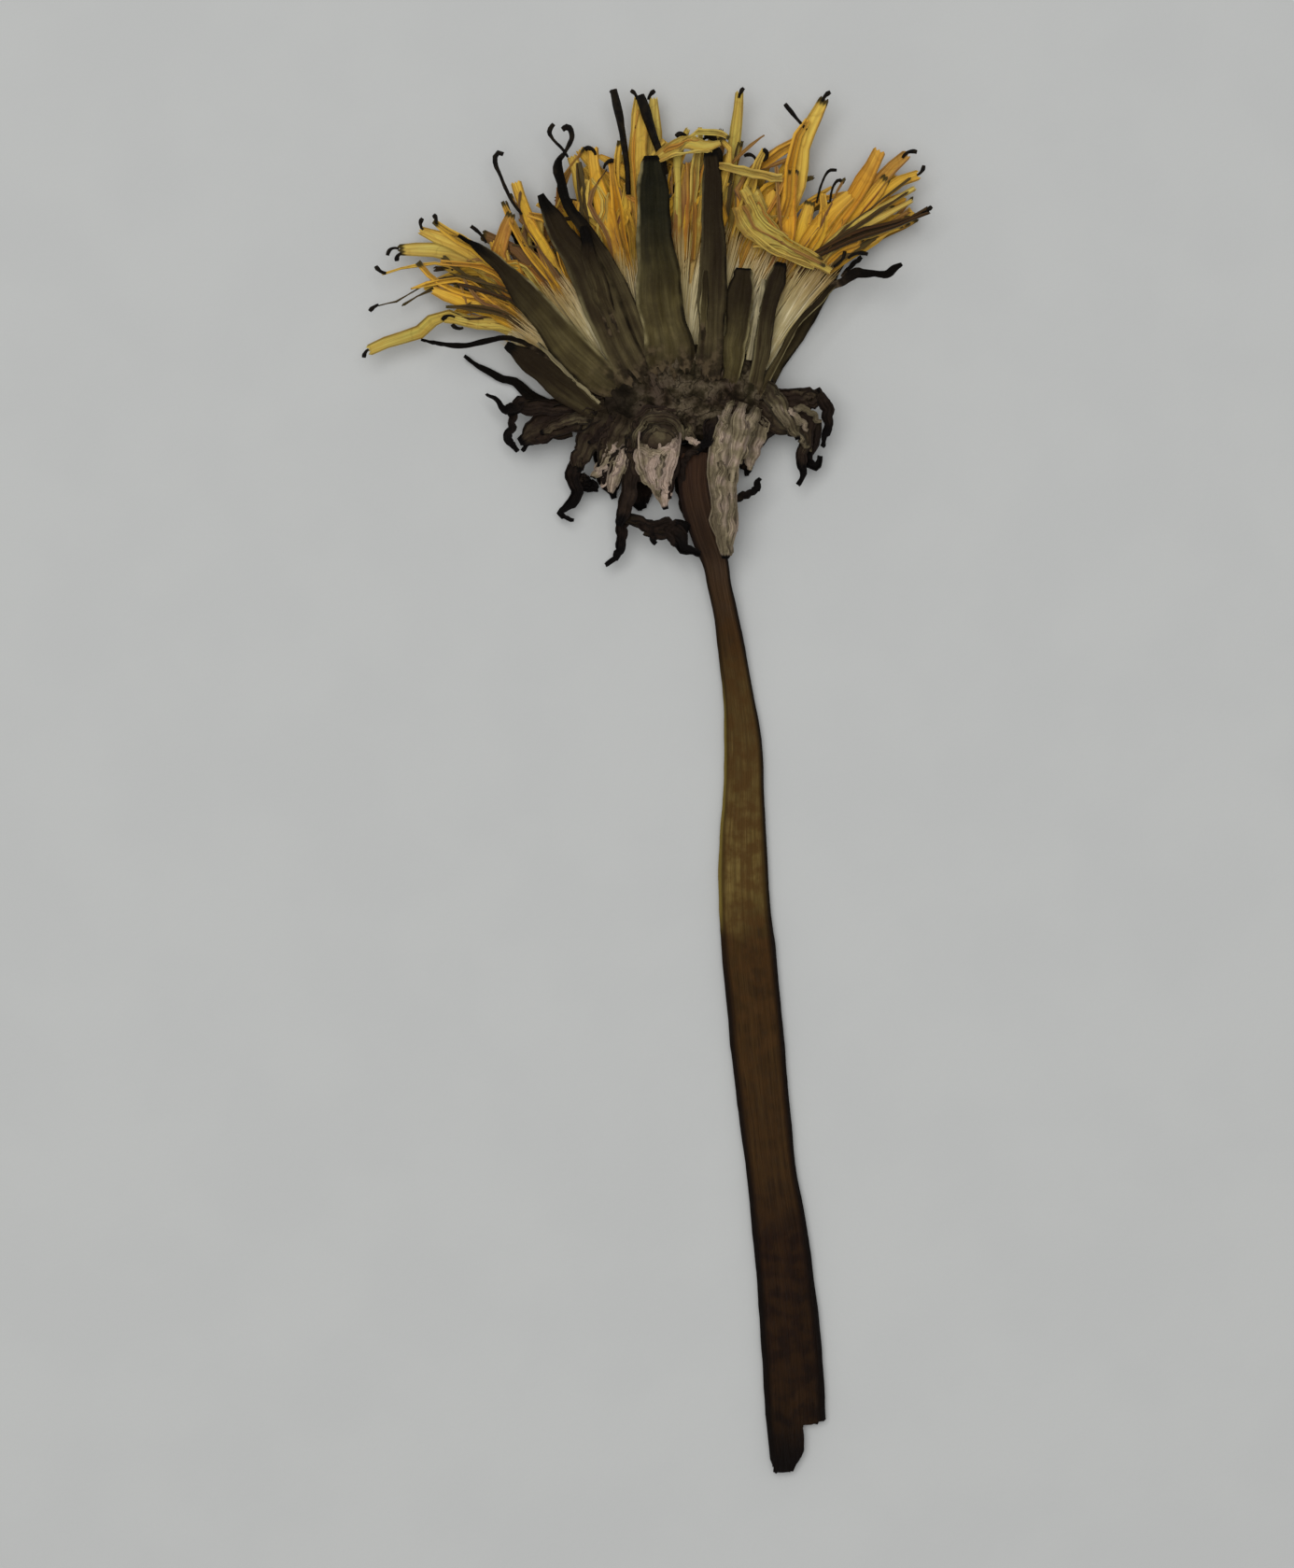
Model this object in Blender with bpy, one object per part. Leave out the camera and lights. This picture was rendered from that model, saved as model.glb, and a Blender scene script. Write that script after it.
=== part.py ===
"""A pressed dandelion: one flower head with its scape, dried flat, lying on its back.

Frame: the origin is the middle of the collar, where the scape meets the head, on the
surface the flower lies on. The scape runs towards -Y, the florets fan out towards +Y,
and +Z points away from the surface. Shapes are given in millimetres, as (x, y) or
(x, y, z), and become metres as the meshes are made.
"""

import math
import random

import bpy
from mathutils import Vector

MM = 0.001
GAP = 0.3  # between neighbouring pieces
BLADE_THICK = 0.6

# Heights of the layers above the surface, bottom to top
BACK_BRACT_Z = 0.0
FLORET_LOW_Z = BACK_BRACT_Z + BLADE_THICK + GAP
FLORET_HIGH_Z = 2.5
FRONT_BRACT_Z = FLORET_HIGH_Z + GAP

# Scape: (y, left edge, right edge), from the collar down to the torn end
STEM_SIDES = [
    (-1.95, -0.55, 1.45), (-4.2, 0.2, 2.2), (-7.1, 0.95, 2.95), (-8.9, 1.39, 2.95),
    (-12.3, 2.07, 3.85), (-15.9, 2.44, 4.60), (-19.9, 2.57, 5.26), (-23.5, 2.51, 5.43),
    (-26.9, 2.22, 5.61), (-31.4, 2.22, 5.87), (-34.7, 2.46, 6.25), (-38.3, 2.84, 6.60),
    (-40.8, 3.01, 6.82), (-45.3, 3.59, 7.22), (-49.8, 4.14, 7.68), (-54.3, 4.60, 8.51),
    (-58.7, 4.97, 9.09), (-63.2, 5.26, 9.53), (-67.1, 5.50, 9.75), (-67.5, 5.56, 8.34),
    (-69.1, 5.78, 8.34), (-70.4, 6.00, 7.46), (-71.0, 6.12, 6.74),
]
STEM_THICK = 0.95
STEM_HEAD_LIFT = 1.1  # height of its underside where it meets the collar
STEM_LIFT_FROM, STEM_LIFT_TO = -17.0, -8.0
# Its flattened section, round the ring: (share of the half width, share of the thickness)
STEM_SECTION = [
    (-0.72, 0.0), (0.72, 0.0), (1.0, 0.35), (0.93, 0.78), (0.62, 1.0),
    (0.22, 0.86), (-0.22, 0.92), (-0.62, 1.0), (-0.93, 0.78), (-1.0, 0.35),
]

# Cup of fused bract feet and receptacle, seen from above, anticlockwise
CUP_OUTLINE = [
    (0.0, 1.1), (3.0, 1.5), (5.1, 2.5), (6.3, 3.7), (6.1, 5.0), (4.9, 6.3), (3.4, 7.3),
    (1.6, 8.0), (-0.3, 8.2), (-2.4, 7.9), (-4.4, 7.0), (-5.8, 5.7), (-6.8, 4.3),
    (-6.9, 3.3), (-5.2, 2.3), (-3.0, 1.5),
]
CUP_MIDDLE = (-0.3, 4.6)
CUP_HEIGHT = 3.7
CUP_RIM_HEIGHT = 3.3
CUP_FOOT_Y = 3.0  # the cup thins towards the scape below this line
CUP_WRINKLE = 0.13

# Collar that the outer bracts grow from: the crescent between these arcs, left to right
COLLAR_UPPER = [
    (-7.2, 2.9), (-5.2, 1.92), (-3.0, 1.12), (0.0, 0.72), (3.0, 1.12), (5.1, 2.1), (6.7, 3.3),
]
COLLAR_LOWER = [
    (-8.0, 2.2), (-5.9, 0.5), (-3.2, -1.0), (0.0, -1.6), (3.2, -0.9), (5.8, 0.7), (7.5, 2.7),
]
COLLAR_HEIGHT = 2.9
COLLAR_END_DROP = 0.9
COLLAR_STEPS = 13

# The fan: a floret runs from a foot on the first arc through the second to a tip on the
# third. Each arc is given from left to right
FAN_FOOT = [(-7.1, 3.9), (-6.2, 5.9), (-4.5, 7.5), (-0.3, 8.7), (3.7, 7.8), (5.8, 6.1)]
FAN_WAIST = [
    (-12.6, 8.7), (-12.0, 10.6), (-9.5, 12.8), (-5.5, 14.9), (-0.5, 15.7), (5.0, 15.5),
    (8.8, 14.2), (9.7, 12.9),
]
FAN_TIP = [
    (-20.6, 8.4), (-18.6, 14.2), (-13.6, 18.8), (-7.0, 22.0), (0.0, 22.7), (8.0, 22.6),
    (14.6, 20.2), (16.3, 16.9),
]

# Pappus: brushes of pale hair that stand on the seeds, as shares of the way out
PAPPUS_BRUSHES = 25
PAPPUS_START = 0.03
PAPPUS_END = 0.41
PAPPUS_TUFT = 0.075
PAPPUS_ROWS, PAPPUS_COLUMNS = 5, 4
PAPPUS_SEED = 3

# Ligules: yellow straps, on a slim arc of corolla tubes, as shares of the way out
TUBE_ARC = (0.515, 0.60)
TUBE_ARC_Z = (1.15, 2.15)
TUBE_ARC_STEPS = 44
LIGULE_ROOT = 0.55
LIGULE_COUNT = 88
LIGULE_WIDTH = (0.7, 1.35)
LIGULE_REACH = (0.78, 1.04)
LIGULE_SEED = 8

# Ligules that can be told apart: the place of the root across the fan, the points (x, y)
# that the strap goes through from there to its tip, and its width
MARKED_LIGULES = [
    (0.165, [(-16.9, 9.9), (-19.6, 8.6), (-22.3, 7.6)], 1.1),
    (0.17, [(-16.6, 12.0), (-19.2, 11.8), (-21.7, 10.7)], 0.7),
    (0.2, [(-16.0, 13.4), (-18.8, 13.5), (-21.4, 13.1)], 0.7),
    (0.205, [(-16.2, 13.6), (-18.2, 14.4), (-20.3, 14.7)], 1.3),
    (0.225, [(-15.2, 14.4), (-17.0, 15.4), (-18.6, 16.2)], 1.3),
    (0.335, [(-10.9, 16.4), (-12.1, 18.4), (-12.9, 21.2)], 0.8),
    (0.39, [(-8.2, 18.2), (-8.8, 20.4), (-8.5, 23.3)], 0.9),
    (0.46, [(-5.4, 18.8), (-6.0, 20.4), (-6.4, 21.9)], 1.3),
    (0.49, [(-4.0, 19.6), (-4.5, 22.2), (-5.0, 25.7)], 0.7),
    (0.515, [(-2.8, 19.4), (-3.0, 22.4), (-3.1, 25.7)], 1.5),
    (0.57, [(-0.6, 19.0), (-0.3, 21.0), (0.3, 22.9)], 1.3),
    (0.63, [(2.8, 19.4), (3.3, 22.4), (3.6, 25.8)], 1.1),
    (0.67, [(4.4, 18.4), (4.9, 20.0), (5.3, 21.5)], 1.2),
    (0.725, [(6.8, 19.4), (8.2, 22.6), (9.6, 25.3)], 1.6),
    (0.71, [(6.2, 19.4), (7.4, 22.6), (6.9, 24.7)], 0.7),
    (0.79, [(10.4, 17.0), (12.0, 19.4), (13.4, 21.6)], 1.7),
    (0.815, [(11.4, 16.6), (13.8, 18.8), (16.1, 20.2)], 1.4),
    (0.83, [(11.0, 15.4), (13.8, 16.6), (16.7, 17.2)], 0.8),
]

# Ligules of the right-hand tuft that lie over the short ends of two bracts, with heights
OVER_LIGULES = [
    ([(4.6, 16.2, 1.6), (4.9, 17.4, 2.4), (5.6, 19.0, 2.6), (6.6, 20.6, 2.5)], 1.5),
    ([(6.7, 16.0, 1.6), (7.6, 17.0, 2.5), (9.0, 18.2, 2.6), (11.4, 18.9, 2.5)], 1.6),
    ([(8.6, 15.3, 1.6), (10.0, 16.1, 2.4), (12.2, 17.3, 2.6), (14.8, 18.6, 2.5)], 1.5),
    ([(3.9, 18.3, 2.5), (4.4, 16.5, 2.75), (6.4, 15.2, 2.75), (9.2, 14.6, 2.7)], 1.2),
]

# Inner bracts on the upper side: points from inside the cup to the tip, and widths
FRONT_BRACTS = [
    ([(-0.9, 5.6), (-1.6, 8.2), (-2.3, 14.6), (-2.6, 20.6)], [3.2, 3.6, 2.9, 1.5]),
    ([(1.3, 5.8), (1.5, 8.5), (1.6, 14.8), (1.5, 21.2)], [2.2, 2.3, 2.0, 1.5]),
    ([(3.2, 4.8), (3.7, 7.2), (4.0, 10.4), (4.3, 13.6)], [1.6, 1.8, 1.8, 1.5]),
    ([(4.7, 4.2), (5.3, 6.4), (5.9, 9.9), (6.6, 13.2)], [1.2, 1.3, 1.3, 1.1]),
    ([(4.8, 3.9), (6.1, 6.4), (10.1, 12.0), (15.1, 13.4)], [0.9, 0.9, 0.8, 0.6]),
    ([(-2.2, 5.4), (-3.2, 7.9), (-5.9, 14.4), (-8.6, 19.4)], [2.0, 2.2, 1.8, 0.8]),
    ([(-3.2, 4.6), (-4.6, 7.2), (-8.5, 14.6), (-10.1, 17.9)], [2.8, 3.1, 2.2, 0.8]),
    ([(-4.4, 3.8), (-6.3, 5.5), (-11.5, 10.9), (-15.4, 15.4)], [2.2, 2.4, 2.1, 0.8]),
    ([(-5.0, 3.2), (-6.8, 4.3), (-11.4, 7.9), (-14.6, 9.5)], [1.7, 1.9, 1.5, 0.6]),
]

# Inner bracts underneath
BACK_BRACTS = [
    ([(0.2, 5.4), (0.3, 8.2), (-0.4, 14.0), (-0.8, 19.4)], [2.8, 3.0, 2.5, 1.0]),
    ([(2.6, 5.0), (3.2, 7.6), (5.0, 13.2), (6.4, 18.4)], [2.6, 2.8, 2.3, 0.9]),
    ([(4.2, 4.4), (5.4, 6.2), (9.2, 11.6), (12.4, 16.4)], [2.0, 2.2, 1.9, 0.8]),
    ([(-2.0, 5.2), (-2.8, 7.8), (-5.2, 13.8), (-6.6, 18.8)], [2.6, 2.9, 2.3, 0.9]),
    ([(-3.8, 4.4), (-5.0, 6.8), (-9.2, 12.4), (-12.6, 16.6)], [2.6, 2.9, 2.2, 0.8]),
    ([(-4.8, 3.4), (-6.6, 4.8), (-11.6, 9.2), (-16.0, 12.0)], [2.2, 2.4, 2.0, 0.7]),
    ([(-5.2, 3.0), (-6.9, 3.9), (-11.2, 5.8), (-14.8, 8.2)], [1.1, 1.2, 0.9, 0.6]),
]

# Outer bracts, bent back and shrivelled: points of the underside, and widths
OUTER_BRACTS = [
    # the crumpled one on the left, with its thin upper tip
    ([(-7.2, 2.2, 1.6), (-8.9, 2.3, 1.5), (-10.5, 2.0, 1.3), (-11.6, 1.0, 1.4)], [1.3, 3.1, 2.9, 1.3]),
    ([(-9.8, 2.7, 1.6), (-11.2, 3.0, 1.9), (-12.4, 3.5, 1.8), (-13.9, 4.5, 1.4)], [1.2, 0.9, 0.7, 0.6]),
    # two with long curled tails, and a strand that crosses to the scape
    ([(-6.3, 1.6, 1.2), (-7.3, -0.2, 1.1), (-7.9, -1.9, 0.9), (-8.8, -3.4, 0.6)], [2.2, 1.5, 0.8, 0.6]),
    ([(-4.7, 0.9, 1.9), (-4.6, -1.8, 2.0), (-4.4, -4.2, 1.6), (-5.6, -7.1, 0.9)], [2.2, 2.0, 1.4, 0.6]),
    ([(-4.4, -3.2, 1.7), (-3.4, -5.0, 1.9), (-1.2, -5.1, 2.5), (0.3, -6.4, 2.5)], [0.9, 0.9, 1.2, 0.6]),
    # the folded knob and the two that lie along the scape's top
    ([(-2.1, 0.5, 2.3), (-2.4, -0.5, 2.7), (-1.9, -2.0, 2.6), (-1.6, -3.4, 2.4)], [3.0, 3.2, 2.6, 1.3]),
    ([(0.2, 0.0, 2.3), (0.6, -2.0, 2.5), (1.0, -4.4, 2.5), (1.3, -6.7, 2.5)], [1.5, 1.8, 1.7, 1.1]),
    ([(3.3, 0.4, 2.3), (3.5, -0.8, 2.6), (3.0, -3.6, 2.5), (2.6, -6.9, 2.5)], [3.0, 3.1, 2.6, 1.2]),
    # a small tip, and the hooked pair on the right
    ([(4.2, 0.4, 1.4), (4.7, -1.0, 1.3), (5.3, -1.5, 1.4)], [1.1, 0.9, 0.6]),
    ([(6.8, 2.0, 1.8), (8.0, 2.9, 2.0), (9.3, 3.7, 2.0), (10.1, 2.6, 1.7), (9.7, 0.8, 1.5)],
     [1.2, 2.2, 1.4, 0.8, 0.6]),
    ([(6.6, 2.4, 1.2), (7.8, 1.6, 1.1), (8.4, 0.2, 0.9), (8.0, -1.7, 0.6)], [1.6, 1.5, 0.9, 0.6]),
    # those underneath
    ([(-5.4, 1.2, 0.3), (-5.4, -0.9, 0.2), (-5.1, -2.6, 0.1)], [2.3, 1.8, 0.7]),
    ([(-2.8, 0.0, 0.3), (-3.3, -2.2, 0.2), (-3.0, -3.3, 0.1)], [2.4, 2.0, 0.8]),
    ([(0.0, -0.6, 0.1), (0.5, -3.2, 0.05), (1.0, -5.4, 0.05)], [2.3, 1.8, 0.7]),
    ([(3.0, 0.0, 0.1), (2.9, -2.6, 0.05), (2.6, -5.6, 0.05)], [2.8, 2.4, 0.9]),
    ([(5.4, 1.4, 0.3), (5.1, -0.2, 0.2), (4.6, -1.6, 0.1)], [1.8, 1.3, 0.7]),
]


def smooth_point(points, share):
    """The point at this share, from 0 to 1, of a smooth curve through the points."""
    place = min(max(share, 0.0), 1.0) * (len(points) - 1)
    first = min(int(place), len(points) - 2)
    t = place - first
    p = [Vector(points[min(max(first + k, 0), len(points) - 1)]) for k in (-1, 0, 1, 2)]
    return 0.5 * (
        2 * p[1]
        + (p[2] - p[0]) * t
        + (2 * p[0] - 5 * p[1] + 4 * p[2] - p[3]) * t**2
        + (3 * p[1] - p[0] - 3 * p[2] + p[3]) * t**3
    )


def smooth_value(values, share):
    return smooth_point([(v, 0.0) for v in values], share).x


def fan_point(across, out):
    """A point of the fan: across runs from left to right, out from foot to tip, 0 to 1."""
    return smooth_point([smooth_point(arc, across) for arc in (FAN_FOOT, FAN_WAIST, FAN_TIP)], out)


def material(name, colour, roughness):
    made = bpy.data.materials.new(name)
    made.use_nodes = True
    shader = made.node_tree.nodes["Principled BSDF"]
    shader.inputs["Base Color"].default_value = (*colour, 1.0)
    shader.inputs["Roughness"].default_value = roughness
    shader.inputs["Metallic"].default_value = 0.0
    return made


def new_object(name, points, faces, collection=None):
    mesh = bpy.data.meshes.new(name)
    mesh.from_pydata([Vector(p) * MM for p in points], [], faces)
    obj = bpy.data.objects.new(name, mesh)
    (collection or bpy.context.scene.collection).objects.link(obj)
    return obj


def loft(name, rings, collection=None):
    """A closed skin over rings of points that run anticlockwise seen from the far end.

    The upper half of each ring is split along the same diagonals as the lower half,
    so that the two faces of a thin waved blade stay parallel.
    """
    count = len(rings[0])
    points = [p for ring in rings for p in ring]
    faces = []
    for k in range(len(rings) - 1):
        for i in range(count):
            a, b = k * count + i, k * count + (i + 1) % count
            c, d = b + count, a + count
            if i < count // 2:
                faces += [(a, c, b), (a, d, c)]
            else:
                faces += [(a, d, b), (b, d, c)]
    last = (len(rings) - 1) * count
    for i in range(1, count - 1):
        faces.append((0, i, i + 1))
        faces.append((last, last + i + 1, last + i))
    return new_object(name, points, faces, collection)


def blade(name, path, widths, collection, steps=5, ridge=0.0):
    """A thin strap along a smooth path of its underside's middle, with an optional midrib."""
    rings = []
    for k in range(steps + 1):
        share = k / steps
        at = smooth_point(path, share)
        ahead = smooth_point(path, share + 0.02) - smooth_point(path, share - 0.02)
        side = Vector((ahead.y, -ahead.x, 0.0)).normalized() * smooth_value(widths, share) / 2
        up = Vector((0.0, 0.0, BLADE_THICK))
        ring = [at - side, at + side, at + side + up, at - side + up]
        if ridge:
            ring.insert(3, at + up * (1 + ridge))
        rings.append(ring)
    return loft(name, rings, collection)


def fan_sheet(name, columns, rows, reach, low, high):
    """A closed sheet over part of the fan. reach gives how far out a point lies, low and
    high the heights of its two faces, all from the shares across and along the sheet."""
    points, faces = [], []
    for surface in (low, high):
        for j in range(columns + 1):
            for i in range(rows + 1):
                across, along = j / columns, i / rows
                at = fan_point(across, reach(across, along))
                points.append((at.x, at.y, surface(across, along)))

    def index(j, i, top):
        return (top * (columns + 1) + j) * (rows + 1) + i

    def close(a, b, c, d, turned):
        return [(a, c, b), (a, d, c)] if turned else [(a, b, c), (a, c, d)]

    for j in range(columns):
        for i in range(rows):
            for top in (0, 1):
                near = [index(j, i, top), index(j + 1, i, top)]
                far = [index(j + 1, i + 1, top), index(j, i + 1, top)]
                faces += close(*near, *far, turned=not top)
        for i in (0, rows):
            corners = [index(j, i, 0), index(j + 1, i, 0), index(j + 1, i, 1), index(j, i, 1)]
            faces += close(*corners, turned=i > 0)
    for i in range(rows):
        for j in (0, columns):
            corners = [index(j, i, 0), index(j, i + 1, 0), index(j, i + 1, 1), index(j, i, 1)]
            faces += close(*corners, turned=j == 0)
    return new_object(name, points, faces)


def repeats_collection(name):
    made = bpy.data.collections.new(name)
    bpy.context.scene.collection.children.link(made)
    return made


def join_repeats(core, repeats):
    """Fuses every object of the collection into the core, then removes them."""
    union = core.modifiers.new("join", "BOOLEAN")
    union.operation = "UNION"
    union.operand_type = "COLLECTION"
    union.collection = repeats
    union.solver = "EXACT"
    bpy.context.view_layer.objects.active = core
    bpy.ops.object.modifier_apply(modifier=union.name)
    for obj in list(repeats.objects):
        bpy.data.objects.remove(obj)
    bpy.data.collections.remove(repeats)


def finish(obj, paint):
    obj.data.materials.clear()
    obj.data.materials.append(paint)
    obj.data.shade_flat()


def make_stem():
    """The scape: a stalk pressed flat, its two sides thick and its middle sunk, torn below."""
    rings = []
    for y, left, right in STEM_SIDES:
        lift = min(max((y - STEM_LIFT_FROM) / (STEM_LIFT_TO - STEM_LIFT_FROM), 0.0), 1.0)
        low = STEM_HEAD_LIFT * lift * lift * (3 - 2 * lift)
        middle, half = (left + right) / 2, (right - left) / 2
        rings.append([Vector((middle + half * s, y, low + STEM_THICK * h)) for s, h in STEM_SECTION])
    stem = loft("stem", rings[::-1])
    finish(stem, material("dry scape", (0.16, 0.085, 0.035), 0.6))


def cup_top(at, share):
    """Height of the cup's crumpled face; share is 0 in the middle and 1 at the edge."""
    rim = CUP_RIM_HEIGHT - max(0.0, CUP_FOOT_Y - at.y) / 4
    height = CUP_HEIGHT + (rim - CUP_HEIGHT) * share**3
    return height + CUP_WRINKLE * math.sin(2.3 * at.x + 0.7 * at.y) * math.cos(1.9 * at.y - 0.6 * at.x)


def make_cup():
    middle = Vector(CUP_MIDDLE)
    closed_outline = CUP_OUTLINE + CUP_OUTLINE[:1]
    count = 2 * len(CUP_OUTLINE)
    edge = [smooth_point(closed_outline, k / count) for k in range(count)]
    points, faces = [], []
    # Rings from the flat underside up: (height, or None for the crumpled face, share of the outline)
    levels = [(0.0, 0.94), (0.45, 1.0), (2.6, 1.0), (None, 0.95), (None, 0.72), (None, 0.42)]
    for height, share in levels:
        for p in edge:
            at = middle.lerp(p, share)
            points.append((at.x, at.y, cup_top(at, share) if height is None else height))
    for ring in range(len(levels) - 1):
        for k in range(count):
            a, b = ring * count + k, ring * count + (k + 1) % count
            faces += [(a, b, b + count), (a, b + count, a + count)]
    crown, top = len(points), (len(levels) - 1) * count
    points.append((middle.x, middle.y, cup_top(middle, 0.0)))
    faces += [(top + k, top + (k + 1) % count, crown) for k in range(count)]
    faces.append(tuple(range(count))[::-1])
    return new_object("involucre", points, faces)


def make_involucre():
    """The cup with the inner bracts that stand on its rim, above and below the florets."""
    involucre = make_cup()
    repeats = repeats_collection("inner bracts")
    for n, (flat, widths) in enumerate(FRONT_BRACTS):
        heights = [FRONT_BRACT_Z - GAP] + [FRONT_BRACT_Z] * (len(flat) - 1)
        path = [(x, y, z) for (x, y), z in zip(flat, heights, strict=True)]
        blade(f"front bract {n}", path, widths, repeats, steps=7, ridge=0.25)
    for n, (flat, widths) in enumerate(BACK_BRACTS):
        path = [(x, y, BACK_BRACT_Z) for x, y in flat]
        blade(f"back bract {n}", path, widths, repeats)
    join_repeats(involucre, repeats)
    finish(involucre, material("dry green bract", (0.07, 0.075, 0.035), 0.7))


def make_outer_bracts():
    """The collar round the receptacle's base, with the outer bracts bent back from it."""
    rings = []
    for k in range(COLLAR_STEPS + 1):
        share = k / COLLAR_STEPS
        upper, lower = smooth_point(COLLAR_UPPER, share), smooth_point(COLLAR_LOWER, share)
        height = COLLAR_HEIGHT - COLLAR_END_DROP * (2 * share - 1) ** 2
        inset = lower.lerp(upper, 0.16)
        rings.append([
            Vector((inset.x, inset.y, 0.0)), Vector((upper.x, upper.y, 0.0)),
            Vector((upper.x, upper.y, height * 0.93)), Vector((inset.x, inset.y, height)),
            Vector((lower.x, lower.y, height * 0.75)), Vector((lower.x, lower.y, height * 0.25)),
        ])
    collar = loft("outer_bracts", rings[::-1])
    repeats = repeats_collection("outer bracts")
    for n, (path, widths) in enumerate(OUTER_BRACTS):
        blade(f"outer bract {n}", path, widths, repeats, steps=6, ridge=0.2)
    join_repeats(collar, repeats)
    finish(collar, material("dry purple bract", (0.10, 0.055, 0.05), 0.75))


def make_pappus():
    """The brushes of hair side by side: ridges that end in separate tufts."""
    rng = random.Random(PAPPUS_SEED)
    lengths = [rng.uniform(0.6, 1.0) for _ in range(PAPPUS_BRUSHES)]
    middle = (FLORET_LOW_Z + FLORET_HIGH_Z) / 2

    def ridge(across):
        return math.sin(math.pi * (across * PAPPUS_BRUSHES % 1.0)) ** 0.7

    def reach(across, along):
        brush = min(int(across * PAPPUS_BRUSHES), PAPPUS_BRUSHES - 1)
        end = PAPPUS_END + PAPPUS_TUFT * ridge(across) * lengths[brush]
        return PAPPUS_START + (end - PAPPUS_START) * along

    def half_height(across, along):
        return BLADE_THICK / 2 + (0.2 + 0.2 * along) * ridge(across)

    pappus = fan_sheet(
        "pappus", PAPPUS_BRUSHES * PAPPUS_COLUMNS, PAPPUS_ROWS, reach,
        lambda across, along: middle - half_height(across, along),
        lambda across, along: middle + half_height(across, along),
    )
    finish(pappus, material("pappus hair", (0.62, 0.55, 0.38), 0.8))


def make_ligules():
    """The yellow straps in two layers, on the arc where their tubes come out of the hair."""
    inner, outer = TUBE_ARC
    low, high = TUBE_ARC_Z
    arc = fan_sheet(
        "ligules", TUBE_ARC_STEPS, 1,
        lambda across, along: inner + (outer - inner) * along,
        lambda across, along: low + 0.08 * math.sin(40 * across),
        lambda across, along: high + 0.08 * math.cos(34 * across),
    )
    rng = random.Random(LIGULE_SEED)
    layers = (FLORET_LOW_Z + 0.1, FLORET_HIGH_Z - BLADE_THICK - 0.1)
    repeats = repeats_collection("straps")
    for n in range(LIGULE_COUNT):
        across = (n + rng.uniform(0.2, 0.8)) / LIGULE_COUNT
        lean = rng.uniform(-0.035, 0.035)
        bow = rng.uniform(-0.03, 0.03)
        reach = rng.uniform(*LIGULE_REACH)
        wide = rng.uniform(*LIGULE_WIDTH)
        height = layers[n % 2]
        flat = [
            fan_point(across, LIGULE_ROOT),
            fan_point(across + bow, (LIGULE_ROOT + reach) / 2),
            fan_point(across + lean, reach),
        ]
        path = [(p.x, p.y, height + rng.uniform(-0.08, 0.08)) for p in flat]
        blade(f"strap {n}", path, [wide * 0.7, wide, wide * 0.8], repeats, steps=3)
    for n, (across, flat, wide) in enumerate(MARKED_LIGULES):
        root = fan_point(across, LIGULE_ROOT)
        path = [(x, y, sum(layers) / 2 + 0.1) for x, y in [(root.x, root.y), *flat]]
        blade(f"marked strap {n}", path, [0.8, wide, wide, max(BLADE_THICK, wide * 0.7)], repeats)
    for n, (path, wide) in enumerate(OVER_LIGULES):
        blade(f"upper strap {n}", path, [wide * 0.7, wide, wide, wide * 0.7], repeats)
    join_repeats(arc, repeats)
    finish(arc, material("dry yellow ligule", (0.62, 0.36, 0.04), 0.6))


for existing in list(bpy.data.objects):
    bpy.data.objects.remove(existing)
make_stem()
make_involucre()
make_outer_bracts()
make_pappus()
make_ligules()
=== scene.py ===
import math
import random

import bmesh
import bpy
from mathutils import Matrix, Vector


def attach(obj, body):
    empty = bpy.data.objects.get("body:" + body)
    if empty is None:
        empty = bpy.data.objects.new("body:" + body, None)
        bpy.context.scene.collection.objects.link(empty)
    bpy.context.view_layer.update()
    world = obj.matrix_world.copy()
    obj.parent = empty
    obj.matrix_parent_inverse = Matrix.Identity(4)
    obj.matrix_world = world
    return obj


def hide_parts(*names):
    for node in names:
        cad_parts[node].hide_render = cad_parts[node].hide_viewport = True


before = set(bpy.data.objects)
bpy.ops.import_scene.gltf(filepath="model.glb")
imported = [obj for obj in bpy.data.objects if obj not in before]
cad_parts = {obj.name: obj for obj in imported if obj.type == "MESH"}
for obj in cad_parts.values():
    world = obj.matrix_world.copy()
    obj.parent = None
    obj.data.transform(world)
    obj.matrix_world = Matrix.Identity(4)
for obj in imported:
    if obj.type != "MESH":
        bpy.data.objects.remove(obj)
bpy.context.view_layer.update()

# A pressed dandelion: scape, cup with inner bracts, outer bracts, pappus and ligules.
# Lengths are written in millimetres and become metres as they go into a mesh.
mm = 0.001
sourceLength = 10.0  # of every strap, tube and tuft before it is laid along its own path
lowest = 0.02  # nothing goes below this height over the surface that the flower lies on
rng = random.Random(11)


def selectOnly(obj):
    bpy.ops.object.select_all(action="DESELECT")
    obj.select_set(True)
    bpy.context.view_layer.objects.active = obj


def startEdit(obj):
    selectOnly(obj)
    bpy.ops.object.mode_set(mode="EDIT")
    bpy.ops.mesh.select_mode(type="VERT")


def endEdit():
    bpy.ops.object.mode_set(mode="OBJECT")


def pick(test):  # selects the points whose place in mm passes the test
    shape = bmesh.from_edit_mesh(bpy.context.object.data)
    for vert in shape.verts:
        vert.select_set(bool(test(vert.co / mm)))
    shape.select_flush_mode()
    bmesh.update_edit_mesh(bpy.context.object.data)


def pickAll():
    bpy.ops.mesh.select_all(action="SELECT")


def pickLengthwise():  # selects the edges that run along X
    bpy.ops.mesh.select_mode(type="EDGE")
    shape = bmesh.from_edit_mesh(bpy.context.object.data)
    for edge in shape.edges:
        run = edge.verts[1].co - edge.verts[0].co
        edge.select_set(abs(run.x) > 0.9 * run.length)
    bmesh.update_edit_mesh(bpy.context.object.data)


def move(x, y, z):
    bpy.ops.transform.translate(value=(x * mm, y * mm, z * mm))


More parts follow.
